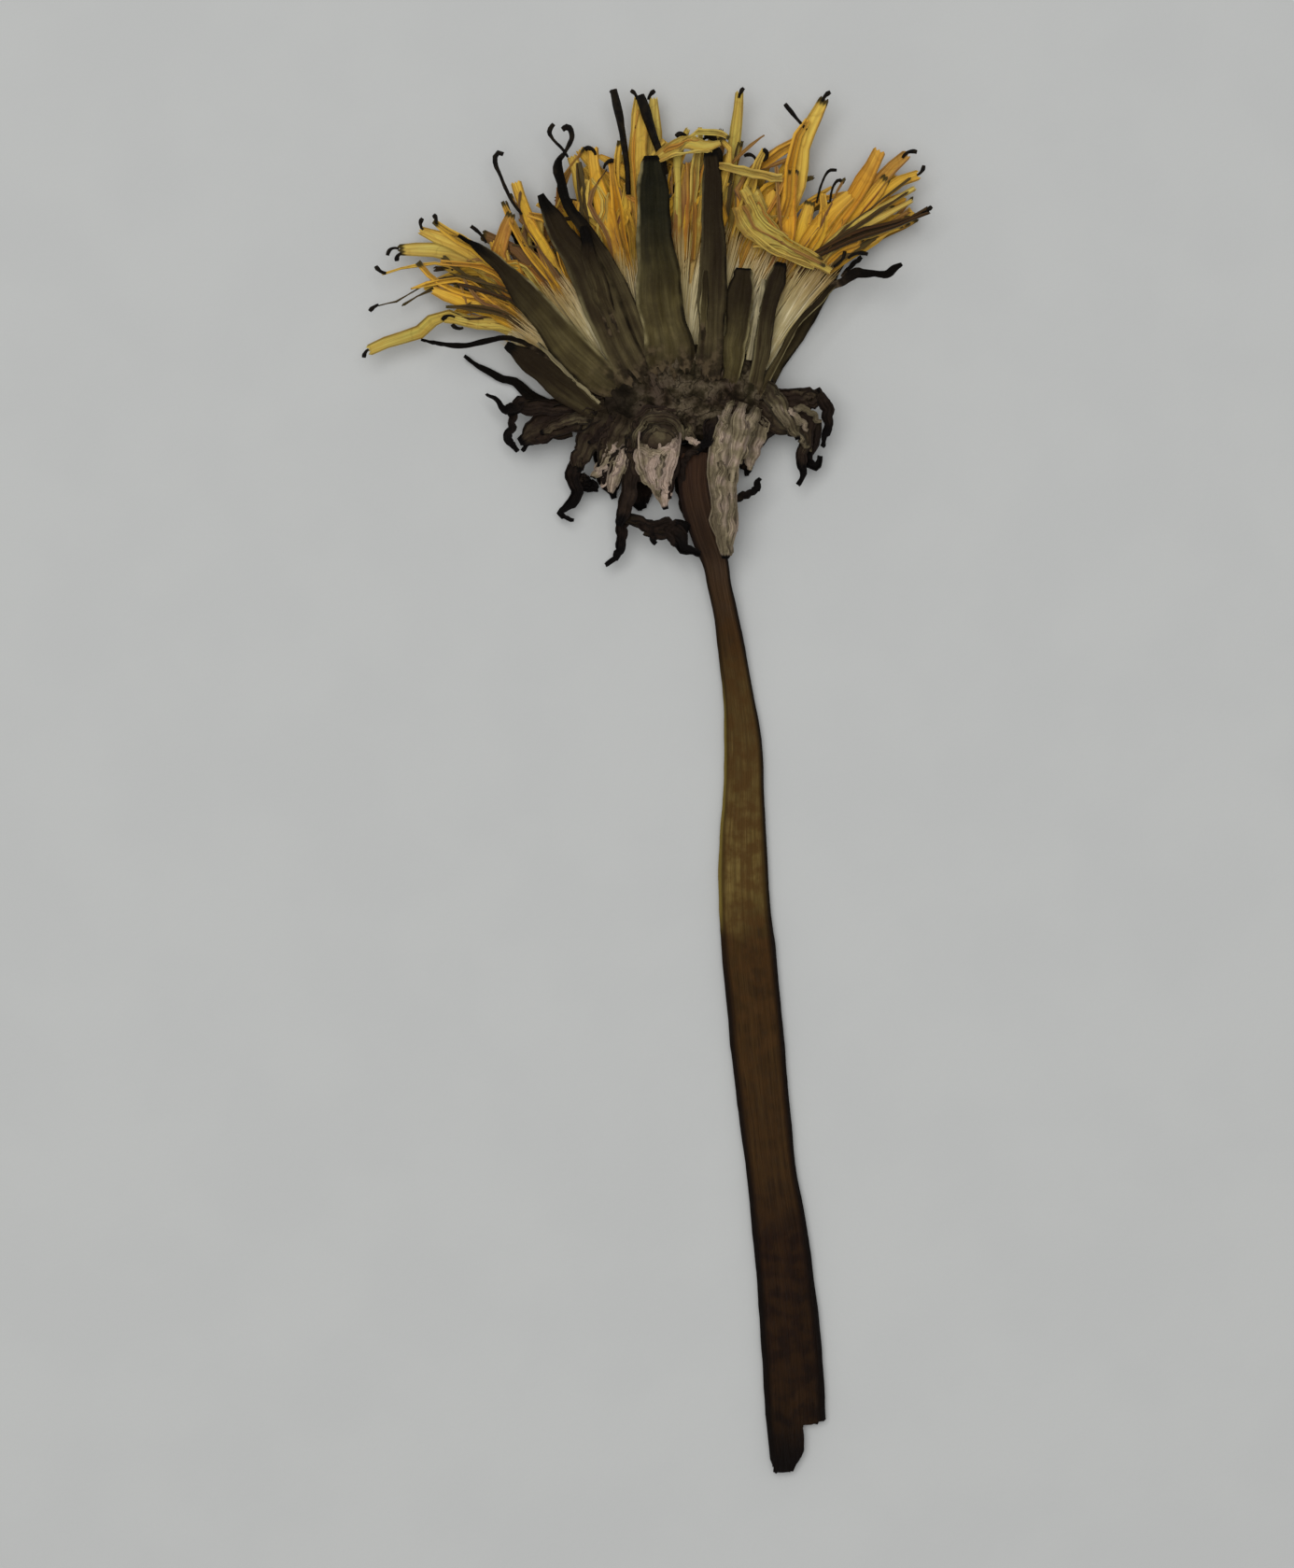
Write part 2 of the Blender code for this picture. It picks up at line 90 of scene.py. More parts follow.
def stretch(x, y, z, around=(0, 0, 0)):
    bpy.ops.transform.resize(value=(x, y, z), center_override=Vector(around) * mm)


def narrowEnds(obj, limits, height=False):  # past each limit along X this share of the width is kept
    startEdit(obj)
    for limit, keep in limits:
        pick(lambda at: at.x > limit if limit > 0 else at.x < limit)
        stretch(1, keep, keep if height else 1)
    endEdit()


def applied(obj, kind, **settings):  # adds a modifier and applies it at once
    modifier = obj.modifiers.new(kind.lower(), kind)
    for key, value in settings.items():
        setattr(modifier, key, value)
    selectOnly(obj)
    bpy.ops.object.modifier_apply(modifier=modifier.name)
    return obj


def clouds(name, size):
    texture = bpy.data.textures.new(name, "CLOUDS")
    texture.noise_scale = size * mm
    texture.noise_depth = 2
    return texture


crumpleSizes = {"waves": 6.0, "folds": 2.2, "wrinkles": 0.8}
crumpleTextures = {name: clouds(name, size) for name, size in crumpleSizes.items()}


def crumple(obj, directions=("NORMAL", "NORMAL"), **strengths):  # waves, folds or wrinkles, in mm
    for (name, strength), direction in zip(strengths.items(), directions):
        applied(
            obj, "DISPLACE", texture=crumpleTextures[name], texture_coords="GLOBAL",
            strength=strength * mm, mid_level=0.5, direction=direction,
        )
    return obj


def copied(source):
    copy = source.copy()
    copy.data = source.data.copy()
    bpy.context.collection.objects.link(copy)
    return copy


def discard(*objects):
    for obj in objects:
        bpy.data.objects.remove(obj)


def joined(name, parts):
    selectOnly(parts[0])
    for part in parts[1:]:
        part.select_set(True)
    if len(parts) > 1:
        bpy.ops.object.join()
    parts[0].name = parts[0].data.name = name
    return parts[0]


def finishPiece(name, parts, cadNode, material):
    obj = joined(name, parts)
    obj.data.materials.clear()
    obj.data.materials.append(material)
    startEdit(obj)
    pick(lambda at: at.z < lowest)
    stretch(1, 1, 0, (0, 0, lowest))
    endEdit()
    bpy.ops.object.shade_smooth_by_angle(angle=math.radians(50))
    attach(obj, "root")
    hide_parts(cadNode)
    print("piece", obj.name, len(obj.data.polygons), "faces")


def smoothPoint(points, share):  # a smooth curve through the points, as in the part's own source
    place = min(max(share, 0.0), 1.0) * (len(points) - 1)
    first = min(int(place), len(points) - 2)
    t = place - first
    a, b, c, d = [Vector(points[min(max(first + k, 0), len(points) - 1)]) for k in (-1, 0, 1, 2)]
    return 0.5 * (
        2 * b + (c - a) * t + (2 * a - 5 * b + 4 * c - d) * t**2 + (3 * b - a - 3 * c + d) * t**3
    )


def smoothValue(values, share):
    return smoothPoint([(v, 0.0) for v in values], share).x


# The florets spread in a fan: each goes from a foot on the first arc, through the second, to its tip
fan = {
    "foot": [(-7.1, 3.9), (-6.2, 5.9), (-4.5, 7.5), (-0.3, 8.7), (3.7, 7.8), (5.4, 6.2)],
    "waist": [
        (-12.6, 8.7), (-12, 10.6), (-9.5, 12.8), (-5.5, 14.9), (-0.5, 15.7), (5, 15.5), (8.6, 14.2),
        (9.5, 12.9),
    ],
    "tip": [
        (-20.6, 8.4), (-18.6, 14.2), (-13.6, 18.8), (-7, 22), (0, 22.7), (8, 22.6), (14.6, 20.2),
        (16.3, 17),
    ],
}


def fanPoint(across, out, z=0.0):  # out is 0 at the foot and 1 at the tip
    at = smoothPoint([smoothPoint(fan[arc], across) for arc in ("foot", "waist", "tip")], out)
    return Vector((at.x, at.y, z))


# One path is used again for every strap: its points are set, and the strap is bent along it
bpy.ops.curve.primitive_bezier_curve_add()
path = bpy.context.object
path.name = "layingPath"
path.data.twist_mode = "Z_UP"
path.data.use_stretch = path.data.use_deform_bounds = path.data.use_radius = True


def shapePath(points, widths, tilts, knots, wander):
    path.data.splines.clear()
    line = path.data.splines.new("BEZIER")
    line.radius_interpolation = line.tilt_interpolation = "CARDINAL"
    line.bezier_points.add(knots - 1)
    for k, knot in enumerate(line.bezier_points):
        share = k / (knots - 1)
        knot.co = smoothPoint(points, share) * mm
        knot.handle_left_type = knot.handle_right_type = "AUTO"
        knot.radius = smoothValue(widths, share)
        knot.tilt = math.radians(smoothValue(tilts, share))
        if 0 < k < knots - 1:  # uneven as a dried leaf is
            knot.co += Vector((rng.uniform(-wander, wander), rng.uniform(-wander, wander), 0)) * mm
            knot.radius *= 1 + rng.uniform(-wander, wander)


def setTone(obj, first, second):  # what the material needs to know about this copy, and a random value
    shade = obj.data.attributes.new("tone", "FLOAT_VECTOR", "POINT")
    shade.data.foreach_set("vector", [first, second, rng.random()] * len(obj.data.vertices))


def laid(source, points, widths, tilts=(0, 0), knots=8, tone=(0.5, 0.5), wander=0, wall=0, **crumples):
    shapePath(points, widths, tilts, knots, wander)
    strap = copied(source)
    applied(strap, "CURVE", object=path, deform_axis="POS_X")
    crumple(strap, **crumples)
    if wall:
        applied(strap, "SOLIDIFY", thickness=wall * mm, offset=0)
    setTone(strap, *tone)
    return strap


def markStrap(obj, wide):  # keeps each point's place along and across while the strap is straight
    marks = obj.data.attributes.new("strap", "FLOAT_VECTOR", "POINT")
    for vert, mark in zip(obj.data.vertices, marks.data):
        at = vert.co / mm
        mark.vector = (at.x / sourceLength + 0.5, at.y / wide + 0.5, at.z / wide)


def mirrored(half):  # a section from its middle outwards, as points (sideways, up), gets its other half
    return [(-side, up) for side, up in half[:0:-1]] + half


def strapSource(name, steps, section):  # a strap along X, 1 mm wide
    rows = len(section)
    bpy.ops.mesh.primitive_grid_add(x_subdivisions=steps, y_subdivisions=rows - 1, size=sourceLength * mm)
    strap = bpy.context.object
    strap.name = name
    markStrap(strap, sourceLength)
    startEdit(strap)
    for row, (side, up) in enumerate(section):
        rowAt = (row / (rows - 1) - 0.5) * sourceLength
        pick(lambda at: abs(at.y - rowAt) < 0.02 and abs(at.z) < 0.0005)
        move(0, side - rowAt, up + 0.001)  # just off the plane, so it isn't picked again
    endEdit()
    return strap


def tubeSource(name, steps, sides, height=1.0, ends="NGON"):  # a tube along X, 1 mm wide
    bpy.ops.mesh.primitive_cylinder_add(
        vertices=sides, radius=0.5 * mm, depth=sourceLength * mm, end_fill_type=ends,
        rotation=(0, math.pi / 2, 0),
    )
    bpy.ops.object.transform_apply(rotation=True)
    tube = bpy.context.object
    tube.name = name
    startEdit(tube)
    pickLengthwise()
    bpy.ops.mesh.subdivide_edgering(number_cuts=steps - 1, interpolation="LINEAR")
    bpy.ops.mesh.select_mode(type="VERT")
    pickAll()
    stretch(1, 1, height)
    endEdit()
    markStrap(tube, 1.0)
    return tube


tree = None  # the material or group whose nodes are being made


def paint(code):  # a screen colour as the linear colour that a shader takes
    parts = [int(code[k:k + 2], 16) / 255 for k in (0, 2, 4)]
    return (*[c / 12.92 if c < 0.04 else ((c + 0.055) / 1.055) ** 2.4 for c in parts], 1.0)


def connect(made, inputs):  # a socket is linked, a colour code is painted and a number is set
    for key, value in inputs.items():
        if isinstance(value, bpy.types.NodeSocket):
            tree.links.new(value, made.inputs[key])
        else:
            made.inputs[key].default_value = paint(value) if isinstance(value, str) else value


def node(kind, inputs=None, **settings):
    made = tree.nodes.new("ShaderNode" + kind)
    for key, value in settings.items():
        setattr(made, key, value)
    connect(made, inputs or {})
    return made


def maths(operation, a, b=0.5):
    return node("Math", {0: a, 1: b}, operation=operation).outputs[0]


def plus(a, b):
    return maths("ADD", a, b)


def minus(a, b):
    return maths("SUBTRACT", a, b)


def times(first, *others):
    for other in others:
        first = maths("MULTIPLY", first, other)
    return first


def blend(mask, a, b):
    return node("Mix", {0: mask, 6: a, 7: b}, data_type="RGBA").outputs[2]


def layered(colour, layers):  # each layer over the ones before: its mask, how strong it is, its colour
    for mask, amount, over in layers:
        colour = blend(times(mask, amount), colour, over)
    return colour


def spread(value, low, high, newLow=0, newHigh=1):
    return node(
        "MapRange", {0: value, 1: low, 2: high, 3: newLow, 4: newHigh}, interpolation_type="SMOOTHSTEP",
    ).outputs[0]


def noise(place, scale, detail=3, roughness=0.5):
    return node(
        "TexNoise", {"Vector": place, "Scale": scale, "Detail": detail, "Roughness": roughness},
    ).outputs[0]


def ramp(value, stops):
    made = node("ValToRGB", {0: value})
    bar = made.color_ramp.elements
    while len(bar) < len(stops):
        bar.new(0.5)
    for element, (place, code) in zip(bar, stops.items()):
        element.position = place
        element.color = paint(code)
    return made.outputs[0]


def axesOf(value):
    return node("SeparateXYZ", {0: value}).outputs


def combined(x, y, z):
    return node("CombineXYZ", {0: x, 1: y, 2: z}).outputs[0]


def newGroup(name, inputs, outputs):
    global tree
    tree = bpy.data.node_groups.new(name, "ShaderNodeTree")
    for label in inputs:
        kind = "NodeSocketVector" if label in ("Strap", "Place") else "NodeSocketFloat"
        tree.interface.new_socket(label, in_out="INPUT", socket_type=kind)
    for label in outputs:
        tree.interface.new_socket(label, in_out="OUTPUT", socket_type="NodeSocketFloat")
    return tree, tree.nodes.new("NodeGroupInput").outputs, tree.nodes.new("NodeGroupOutput")


def placed(group, *inputs):  # a group with its inputs in their own order
    made = tree.nodes.new("ShaderNodeGroup")
    made.node_tree = group
    connect(made, dict(enumerate(inputs)))
    return made.outputs


def fibresGroup():  # streaks and ribs along a strap; Length and Width say how many
    group, given, wanted = newGroup("fibres", ["Strap", "Length", "Width", "Offset"], ["Streaks", "Ribs"])
    along, across, up = axesOf(given["Strap"])
    wide = times(across, given["Width"])
    deep = plus(times(up, given["Width"]), times(given["Offset"], 37))
    grain = noise(combined(times(along, given["Length"]), wide, deep), 1, 3, 0.6)
    wave = maths("SINE", times(plus(wide, times(grain, 1.2)), math.pi))
    connect(wanted, {"Streaks": spread(grain, 0.3, 0.7), "Ribs": spread(wave, -0.6, 0.9)})
    return group


def edgesGroup():  # a mask along both sides of a strap and one at its tip, with ragged limits
    group, given, wanted = newGroup("edges", ["Strap", "Edge", "Tip", "Offset"], ["Sides", "End"])
    along, across = axesOf(given["Strap"])[:2]
    drawn = combined(times(along, 9), times(across, 2), times(given["Offset"], 23))
    ragged = plus(noise(drawn, 1, 2), 0.5)
    fromSide = maths("MINIMUM", across, minus(1, across))
    for distance, label, result in ((fromSide, "Edge", "Sides"), (minus(1, along), "Tip", "End")):
        limit = times(given[label], ragged)
        connect(wanted, {result: spread(distance, times(limit, 0.4), limit, 1, 0)})
    return group


def mottleGroup():  # soft patches of this size in mm, with a finer grain and winding crease lines where shade is painted
    group, given, wanted = newGroup("mottle", ["Place", "Size"], ["Patches", "Grain", "CreaseShade"])
    place, scale = given["Place"], maths("DIVIDE", 1 / mm, given["Size"])
    winding = noise(place, times(scale, 0.8), 2, 0.4)
    connect(wanted, {
        "Patches": spread(noise(place, scale), 0.35, 0.65),
        "Grain": spread(noise(place, times(scale, 6), 4, 0.7), 0.25, 0.75),
        "CreaseShade": spread(maths("ABSOLUTE", minus(winding, 0.5)), 0, 0.035, 1, 0),
    })
    return group


fibres, edges, mottle = fibresGroup(), edgesGroup(), mottleGroup()
print("shared effects ready")


def newMaterial(name, sheen=0, shine=0.07):  # dry plant skin hardly shines
    global tree
    made = bpy.data.materials.new(name)
    made.use_nodes = True
    tree = made.node_tree
    connect(tree.nodes["Principled BSDF"], {"Sheen Weight": sheen, "Specular IOR Level": shine})
    place = node("TexCoord").outputs["Object"]
    strap = node("Attribute", attribute_name="strap").outputs["Vector"]
    tone = node("Attribute", attribute_name="tone").outputs["Vector"]
    return made, place, strap, axesOf(tone)


def finishMaterial(made, colour, height, depth, roughness):
    bump = node("Bump", {"Strength": 0.6, "Distance": depth * mm, "Height": height})
    connect(tree.nodes["Principled BSDF"], {
        "Base Color": colour, "Normal": bump.outputs[0], "Roughness": roughness,
    })
    return made


# The scape: a hollow stalk pressed flat, torn at its lower end
scape = {
    # (y, left edge, right edge) from the head down
    "sides": [
        (0.4, -0.75, 1.7), (-1.6, -0.6, 1.6), (-2.9, -0.4, 1.8), (-4.4, 0, 2.2), (-5.7, 0.43, 2.6),
        (-7.2, 1.05, 2.95), (-8.6, 1.35, 3.1), (-10.6, 1.83, 3.5), (-13.4, 2.2, 4.1), (-16.5, 2.53, 4.66),
        (-19.9, 2.57, 5.26), (-23.5, 2.51, 5.43), (-26.9, 2.22, 5.61), (-31.4, 2.22, 5.87),
        (-34.7, 2.46, 6.25), (-38.3, 2.84, 6.60), (-40.8, 3.01, 6.82), (-45.3, 3.59, 7.22),
        (-49.8, 4.14, 7.68), (-54.3, 4.60, 8.51), (-58.7, 4.97, 9.09), (-63.2, 5.26, 9.53),
        (-67.3, 5.50, 9.76), (-71.6, 6, 9.9),
    ],
    "lifts": [(0.4, 2.85), (-2, 2.55), (-5, 2.1), (-8, 1.5), (-12, 0.8), (-17, 0.5)],
    "flatness": 0.24, "wall": 0.14, "around": 56, "along": 160, "groove": (0.985, 0.91),
    "sunk": (0.36, 0.29, 0.22, 0.14), "sunkBy": 0.88,
    "rounder": (-1.8, -2.3, -2.8, -3.3, -3.8), "rounderBy": 1.14,
    "tearsBelow": -60, "step": (8.35, -67.6, 0),
    "tears": [  # a point of each tear and the way it faces
        ((8.3, -69.3, 0), (0.83, -0.56, 0)), ((6.7, -70.9, 0), (0.05, -1, 0.1)),
        ((5.95, -70.1, 0), (-0.95, -0.3, 0)),
    ],
}


def scapeSkin():
    made, place, strap = newMaterial("scapeSkin")[:3]
    lines = placed(fibres, strap, 12, 18, 0)
    fine = placed(fibres, strap, 30, 46, 0.4)
    broad = placed(fibres, strap, 7, 4, 0.7)
    rim = placed(edges, strap, 0.17, 0.012, 0.3)
    spots = placed(mottle, place, 3)
    along, across = axesOf(strap)[:2]
    wander = plus(along, times(spots["Patches"], 0.02))
    middle = ramp(wander, {
        0: "503828", 0.10: "4c3a2c", 0.135: "5c4735", 0.19: "523a20", 0.25: "6c552e",
        0.44: "88723e", 0.487: "4e3717", 0.70: "4e381c", 0.765: "2a180e", 1: "22140a",
    })
    outside = ramp(wander, {
        0: "271813", 0.10: "1e130c", 0.19: "271a0c", 0.25: "3c2c14", 0.44: "443214",
        0.487: "291a0a", 0.70: "24160a", 0.765: "170d07", 1: "120a05",
    })
    flecked = times(spread(along, 0.45, 0.8, 0.85, 0.3), spread(along, 0.1, 0.22, 0.15, 1))
    pale = times(spread(across, 0.10, 0.02), spread(along, 0.2, 0.27), spread(along, 0.47, 0.44))
    # painted shadow: a dark line along the left edge of the lower part
    left = times(spread(across, 0.11, 0.03), spread(along, 0.46, 0.52), 0.75)
    right = times(spread(across, 0.9, 0.975), 0.85)
    colour = layered(middle, [
        (lines["Streaks"], 0.6, outside),
        (broad["Streaks"], 0.55, outside),
        (placed(mottle, place, 1)["Patches"], flecked, blend(0.5, outside, "62421f")),
        (fine["Streaks"], 0.35, outside),
        (rim["Sides"], 1, outside),
        (pale, 0.7, "8a7838"),
        # the right edge dark all along, and the painted shadow line at the left edge below
        (maths("MAXIMUM", right, left), 1, "0e0907"),
        (spread(along, 0.92, 0.98), 1, "0e0806"),
    ])
    height = plus(lines["Ribs"], fine["Streaks"])
    return finishMaterial(made, colour, height, 0.06, spread(spots["Grain"], 0, 1, 0.4, 0.65))


def liftAt(y):  # how high the middle of the scape lies at this y
    for (fromY, fromLift), (toY, toLift) in zip(scape["lifts"], scape["lifts"][1:]):
        if y >= toY:
            return toLift + (fromLift - toLift) * (y - toY) / (fromY - toY)
    return scape["lifts"][-1][1]


def tearEnd(stalk):
    stepX = scape["step"][0]
    startEdit(stalk)
    pick(lambda at: at.y < scape["tearsBelow"])
    bpy.ops.mesh.bisect(plane_co=(stepX * mm, 0, 0), plane_no=(1, 0, 0))
    pick(lambda at: at.x > stepX - 0.001 and at.y < scape["tearsBelow"])
    bpy.ops.mesh.bisect(  # the right side is torn off higher up
        plane_co=Vector(scape["step"]) * mm, plane_no=(0.3, -0.95, 0.1), clear_outer=True,
    )
    for corner, facing in scape["tears"]:  # the left side narrows to a blunt end
        pick(lambda at: at.x < stepX + 0.001 and at.y < scape["tearsBelow"])
        bpy.ops.mesh.bisect(plane_co=Vector(corner) * mm, plane_no=facing, clear_outer=True)
    bpy.ops.mesh.select_mode(type="EDGE")
    bpy.ops.mesh.select_all(action="DESELECT")
    bpy.ops.mesh.select_non_manifold(
        extend=False, use_wire=False, use_multi_face=False, use_non_contiguous=False, use_verts=False,
    )
    bpy.ops.transform.vertex_random(offset=0.1 * mm, seed=4)  # the torn rim
    endEdit()


def makeScape():
    source = tubeSource("scape", scape["along"], scape["around"], ends="NOTHING")
    turn = 2 * math.pi / scape["around"]
    startEdit(source)
    pick(lambda at: round(math.atan2(at.z, at.y) / turn) % 2 == 0)  # every second line is pressed in
    stretch(1, *scape["groove"])
    for half in scape["sunk"]:  # the sides stay thick, the middle sinks
        pick(lambda at: abs(at.y) < half)
        stretch(1, 1, scape["sunkBy"])
    for limit in scape["rounder"]:  # towards the head
        pick(lambda at: at.x < limit)
        stretch(1, 1, scape["rounderBy"])
    pickAll()
    stretch(1, 1, scape["flatness"])
    endEdit()
    points = [((left + right) / 2, y, liftAt(y)) for y, left, right in scape["sides"]]
    widths = [right - left for y, left, right in scape["sides"]]
    stalk = laid(source, points, widths, knots=2 * len(points), waves=0.22, wrinkles=0.05)
    discard(source)
    tearEnd(stalk)
    applied(stalk, "SOLIDIFY", thickness=scape["wall"] * mm, offset=-1)
    finishPiece("scape", [stalk], "stem", scapeSkin())


makeScape()

# The inner bracts, each from its foot to its tip: points, widths, height,
# colour (0 black brown, 0.5 grey brown, 0.75 olive, 1 pale) and the share of the tip that is black
innerBracts = {
    "front": [
        ([(-1, 6), (-1.5, 8.4), (-2, 12.3), (-2.4, 16.5), (-2.5, 21)],
         [3, 3.3, 2.9, 2.3, 1.8], 3.3, 0.74, 0.03),
        ([(1.5, 5.9), (1.65, 8.2), (1.7, 12.3), (1.8, 16.5), (1.6, 21.3)],
         [1.6, 1.85, 1.75, 1.5, 1.3], 3.35, 0.33, 0.03),
        ([(2.9, 5.4), (3.2, 7.4), (3.55, 10), (3.9, 13.2)], [1.1, 1.35, 1.75, 1.7], 3.3, 0.7, 0.02),
        ([(4.7, 4.9), (5, 6.6), (5.5, 9.5), (6.2, 12.3), (6.5, 13.6)],
         [0.8, 0.95, 1.05, 1.25, 1], 3.25, 0.4, 0.04),
        ([(5.2, 4.9), (6.2, 6.7), (7.4, 8.8), (8.9, 10.7), (10.2, 12)],
         [0.5, 0.35, 0.28, 0.26, 0.3], 3.15, 0.6, 0),
        ([(-2.2, 5.6), (-3.4, 8.2), (-5.4, 13.3), (-7.6, 16.6), (-8.7, 18.6), (-8.9, 20.9)],
         [1.4, 1.3, 1.1, 0.8, 0.6, 0.45], 3.1, 0.4, 0.4),
        ([(-3.1, 5.3), (-4.7, 7.8), (-6.5, 12), (-8.5, 15.2), (-10.2, 18.3)],
         [2.2, 2.4, 2.4, 1.7, 0.6], 3.3, 0.42, 0.12),
        ([(-4.6, 4.4), (-6, 5.6), (-7.6, 7.1), (-10.2, 10.1), (-12.5, 12.9), (-14.1, 14.4), (-15.9, 15.5)],
         [1.6, 2.1, 2.4, 2, 1.2, 0.65, 0.3], 3.25, 0.7, 0.2),
        ([(-5.6, 2.9), (-6.9, 3.7), (-8.6, 5), (-10.6, 6.6), (-12.6, 7.9)],
         [1.3, 1.6, 1.9, 1.6, 0.8], 3.15, 0.22, 0.1),
    ],
    "details": [  # second prongs, margins, curled ends and a highlight, laid over the front ones
        ([(-4.9, 8.6), (-6.3, 12.4), (-7.2, 16.1)], [1, 1.2, 0.6], 3.42, 0.3, 0.3),
        ([(-9.2, 6.7), (-10.9, 7.8), (-12.5, 8.4), (-14, 8.15), (-15.6, 7.8), (-17.2, 7.95), (-18.5, 8.25)],
         [0.2, 0.25, 0.3, 0.3, 0.25, 0.25, 0.15], 3.2, 0, 1),
        ([(9.9, 11.8), (10.7, 12.2), (11.5, 12.75), (12.3, 12.95), (13.1, 12.8), (13.9, 12.8), (14.9, 13.5)],
         [0.35, 0.55, 0.7, 0.5, 0.4, 0.5, 0.2], 3.1, 0, 1),
        ([(10.8, 12.6), (11.3, 13.3), (12.1, 14)], [0.3, 0.25, 0.2], 3, 0, 1),
        ([(1.1, 8.2), (1.15, 10.5), (1.25, 13)], [0.3, 0.45, 0.3], 3.5, 0.78, 0),
        ([(4.3, 6.8), (4.75, 9.6), (5.3, 12.4)], [0.25, 0.3, 0.35], 3.4, 1, 0),
        ([(-6.1, 3.8), (-8.1, 5.7), (-10.4, 8)], [0.15, 0.2, 0.2], 3.45, 0.95, 0),
    ],
    "back": [
        ([(0.2, 5.4), (0.3, 8.2), (-0.4, 14), (-0.8, 19.4)], [2.8, 3, 2.5, 0.5], 0.3, 0.5, 0.15),
        ([(2.6, 5), (3.2, 7.6), (5, 13.2), (6.4, 18.4)], [2.6, 2.8, 2.3, 0.5], 0.3, 0.6, 0.15),
        ([(4.2, 4.4), (5.4, 6.2), (8.8, 11.6), (11.8, 16.4)], [2, 2.2, 1.9, 0.4], 0.3, 0.4, 0.15),
        ([(-2, 5.2), (-2.8, 7.8), (-5.2, 13.8), (-6.6, 18.8)], [2.6, 2.9, 2.3, 0.5], 0.3, 0.65, 0.15),
        ([(-3.8, 4.4), (-5, 6.8), (-9.2, 12.4), (-12.6, 16.6)], [2.6, 2.9, 2.2, 0.4], 0.3, 0.5, 0.15),
        ([(-4.8, 3.6), (-6.6, 5.2), (-11.6, 9.6), (-16, 12)], [2.2, 2.4, 2, 0.4], 0.3, 0.6, 0.15),
        ([(-5.4, 2.6), (-8.2, 3.3), (-10.3, 4.1), (-11.2, 4.8), (-12.1, 5.6), (-13.1, 5.9), (-14.4, 6.6),
          (-15.6, 7.4)], [0.8, 0.9, 0.9, 0.75, 0.6, 0.5, 0.35, 0.22], 0.4, 0.05, 0.7),
    ],
    "meeting": (0.3, -1.5),  # the feet point towards the top of the scape
    "section": mirrored([(0, 0.06), (0.11, 0), (0.22, 0.035), (0.32, 0), (0.43, 0.03), (0.5, -0.03)]),
    "steps": 34, "wall": 0.13, "tip": [(4.0, 0.9), (4.4, 0.85), (4.75, 0.7)],
    "footFrom": 0.3, "footWidth": 0.7, "sink": {"front": 0.4, "back": 0.0},
    "thin": 0.5, "thinWander": 0.03, "wander": 0.1, "crumples": {"folds": 0.35, "wrinkles": 0.14},
}


def bractSkin():
    made, place, strap, tone = newMaterial("bractSkin")
    lines = placed(fibres, strap, 2.5, 3.5, tone[2])
    fine = placed(fibres, strap, 3, 9, tone[2])
    rim = placed(edges, strap, 0.14, tone[1], tone[2])
    spots, small = placed(mottle, place, 1.3), placed(mottle, place, 0.6)
    along, across = axesOf(strap)[:2]
    base = ramp(tone[0], {
        0: "130e0a", 0.25: "2e2415", 0.5: "403523", 0.75: "4c4222", 0.9: "7f7350", 1: "c9bb95",
    })
    green = spread(tone[0], 0.93, 0.88)
    teal = spread(maths("ABSOLUTE", minus(tone[0], 0.74)), 0.02, 0)
    # one side ends in a black line, the other in a thin pale margin
    other = maths("ABSOLUTE", minus(across, maths("ROUND", tone[2])))
    margin = blend(spread(tone[0], 0.2, 0.6), "2a2116", "968a62")
    sides = blend(spread(other, 0.4, 0.6), margin, "0e0a06")
    # the foot goes over into the brown of the cup
    foot = ramp(small["Patches"], {0: "1d160e", 0.5: "342a1e", 1: "574936"})
    near = times(spread(plus(along, times(spots["Patches"], 0.08)), 0.34, 0.17), green)
    colour = layered(base, [
        (lines["Streaks"], spread(tone[0], 0, 0.4, 0, 0.4), "8a7d54"),
        (fine["Streaks"], 0.5, "1d150c"),
        (spots["Patches"], 0.4, "2a2014"),
        (times(spread(along, 0.35, 0.8), 0.85), green, blend(teal, "21180e", "0d110b")),
        (rim["Sides"], plus(0.2, times(spots["Patches"], 0.6)), sides),
        (near, 0.9, foot),
        (rim["End"], 1, "0c0906"),
    ])
    height = plus(fine["Streaks"], spots["Grain"])
    return finishMaterial(made, colour, height, 0.07, spread(spots["Grain"], 0, 1, 0.5, 0.8))


def makeInnerBracts():
    source = strapSource("bractSource", innerBracts["steps"], innerBracts["section"])
    narrowEnds(source, innerBracts["tip"])
    skin = bractSkin()
    for name, kinds in (("front", ("front", "details")), ("back", ("back",))):
        parts = []
        for kind in kinds:
            for flat, widths, height, colour, black in innerBracts[kind]:
                heights = [height] * len(flat)
                if kind != "details":  # these go on to a foot, deeper in the cup
                    foot = Vector(flat[0]).lerp(Vector(innerBracts["meeting"]), innerBracts["footFrom"])
                    flat = [tuple(foot), *flat]
                    widths = [innerBracts["footWidth"] * widths[0], *widths]
                    sink = innerBracts["sink"][kind]
                    heights = [height - sink, height - sink / 2, height + sink / 4, *heights[2:]]
                thin = max(widths) < innerBracts["thin"]
                parts.append(laid(
                    source, [(x, y, z) for (x, y), z in zip(flat, heights)], widths, knots=12,
                    tone=(colour, black), wander=innerBracts["thinWander" if thin else "wander"],
                    wall=innerBracts["wall"], **innerBracts["crumples"],
                ))
        finishPiece(name + "InnerBracts", parts, "involucre", skin)
    discard(source)


makeInnerBracts()

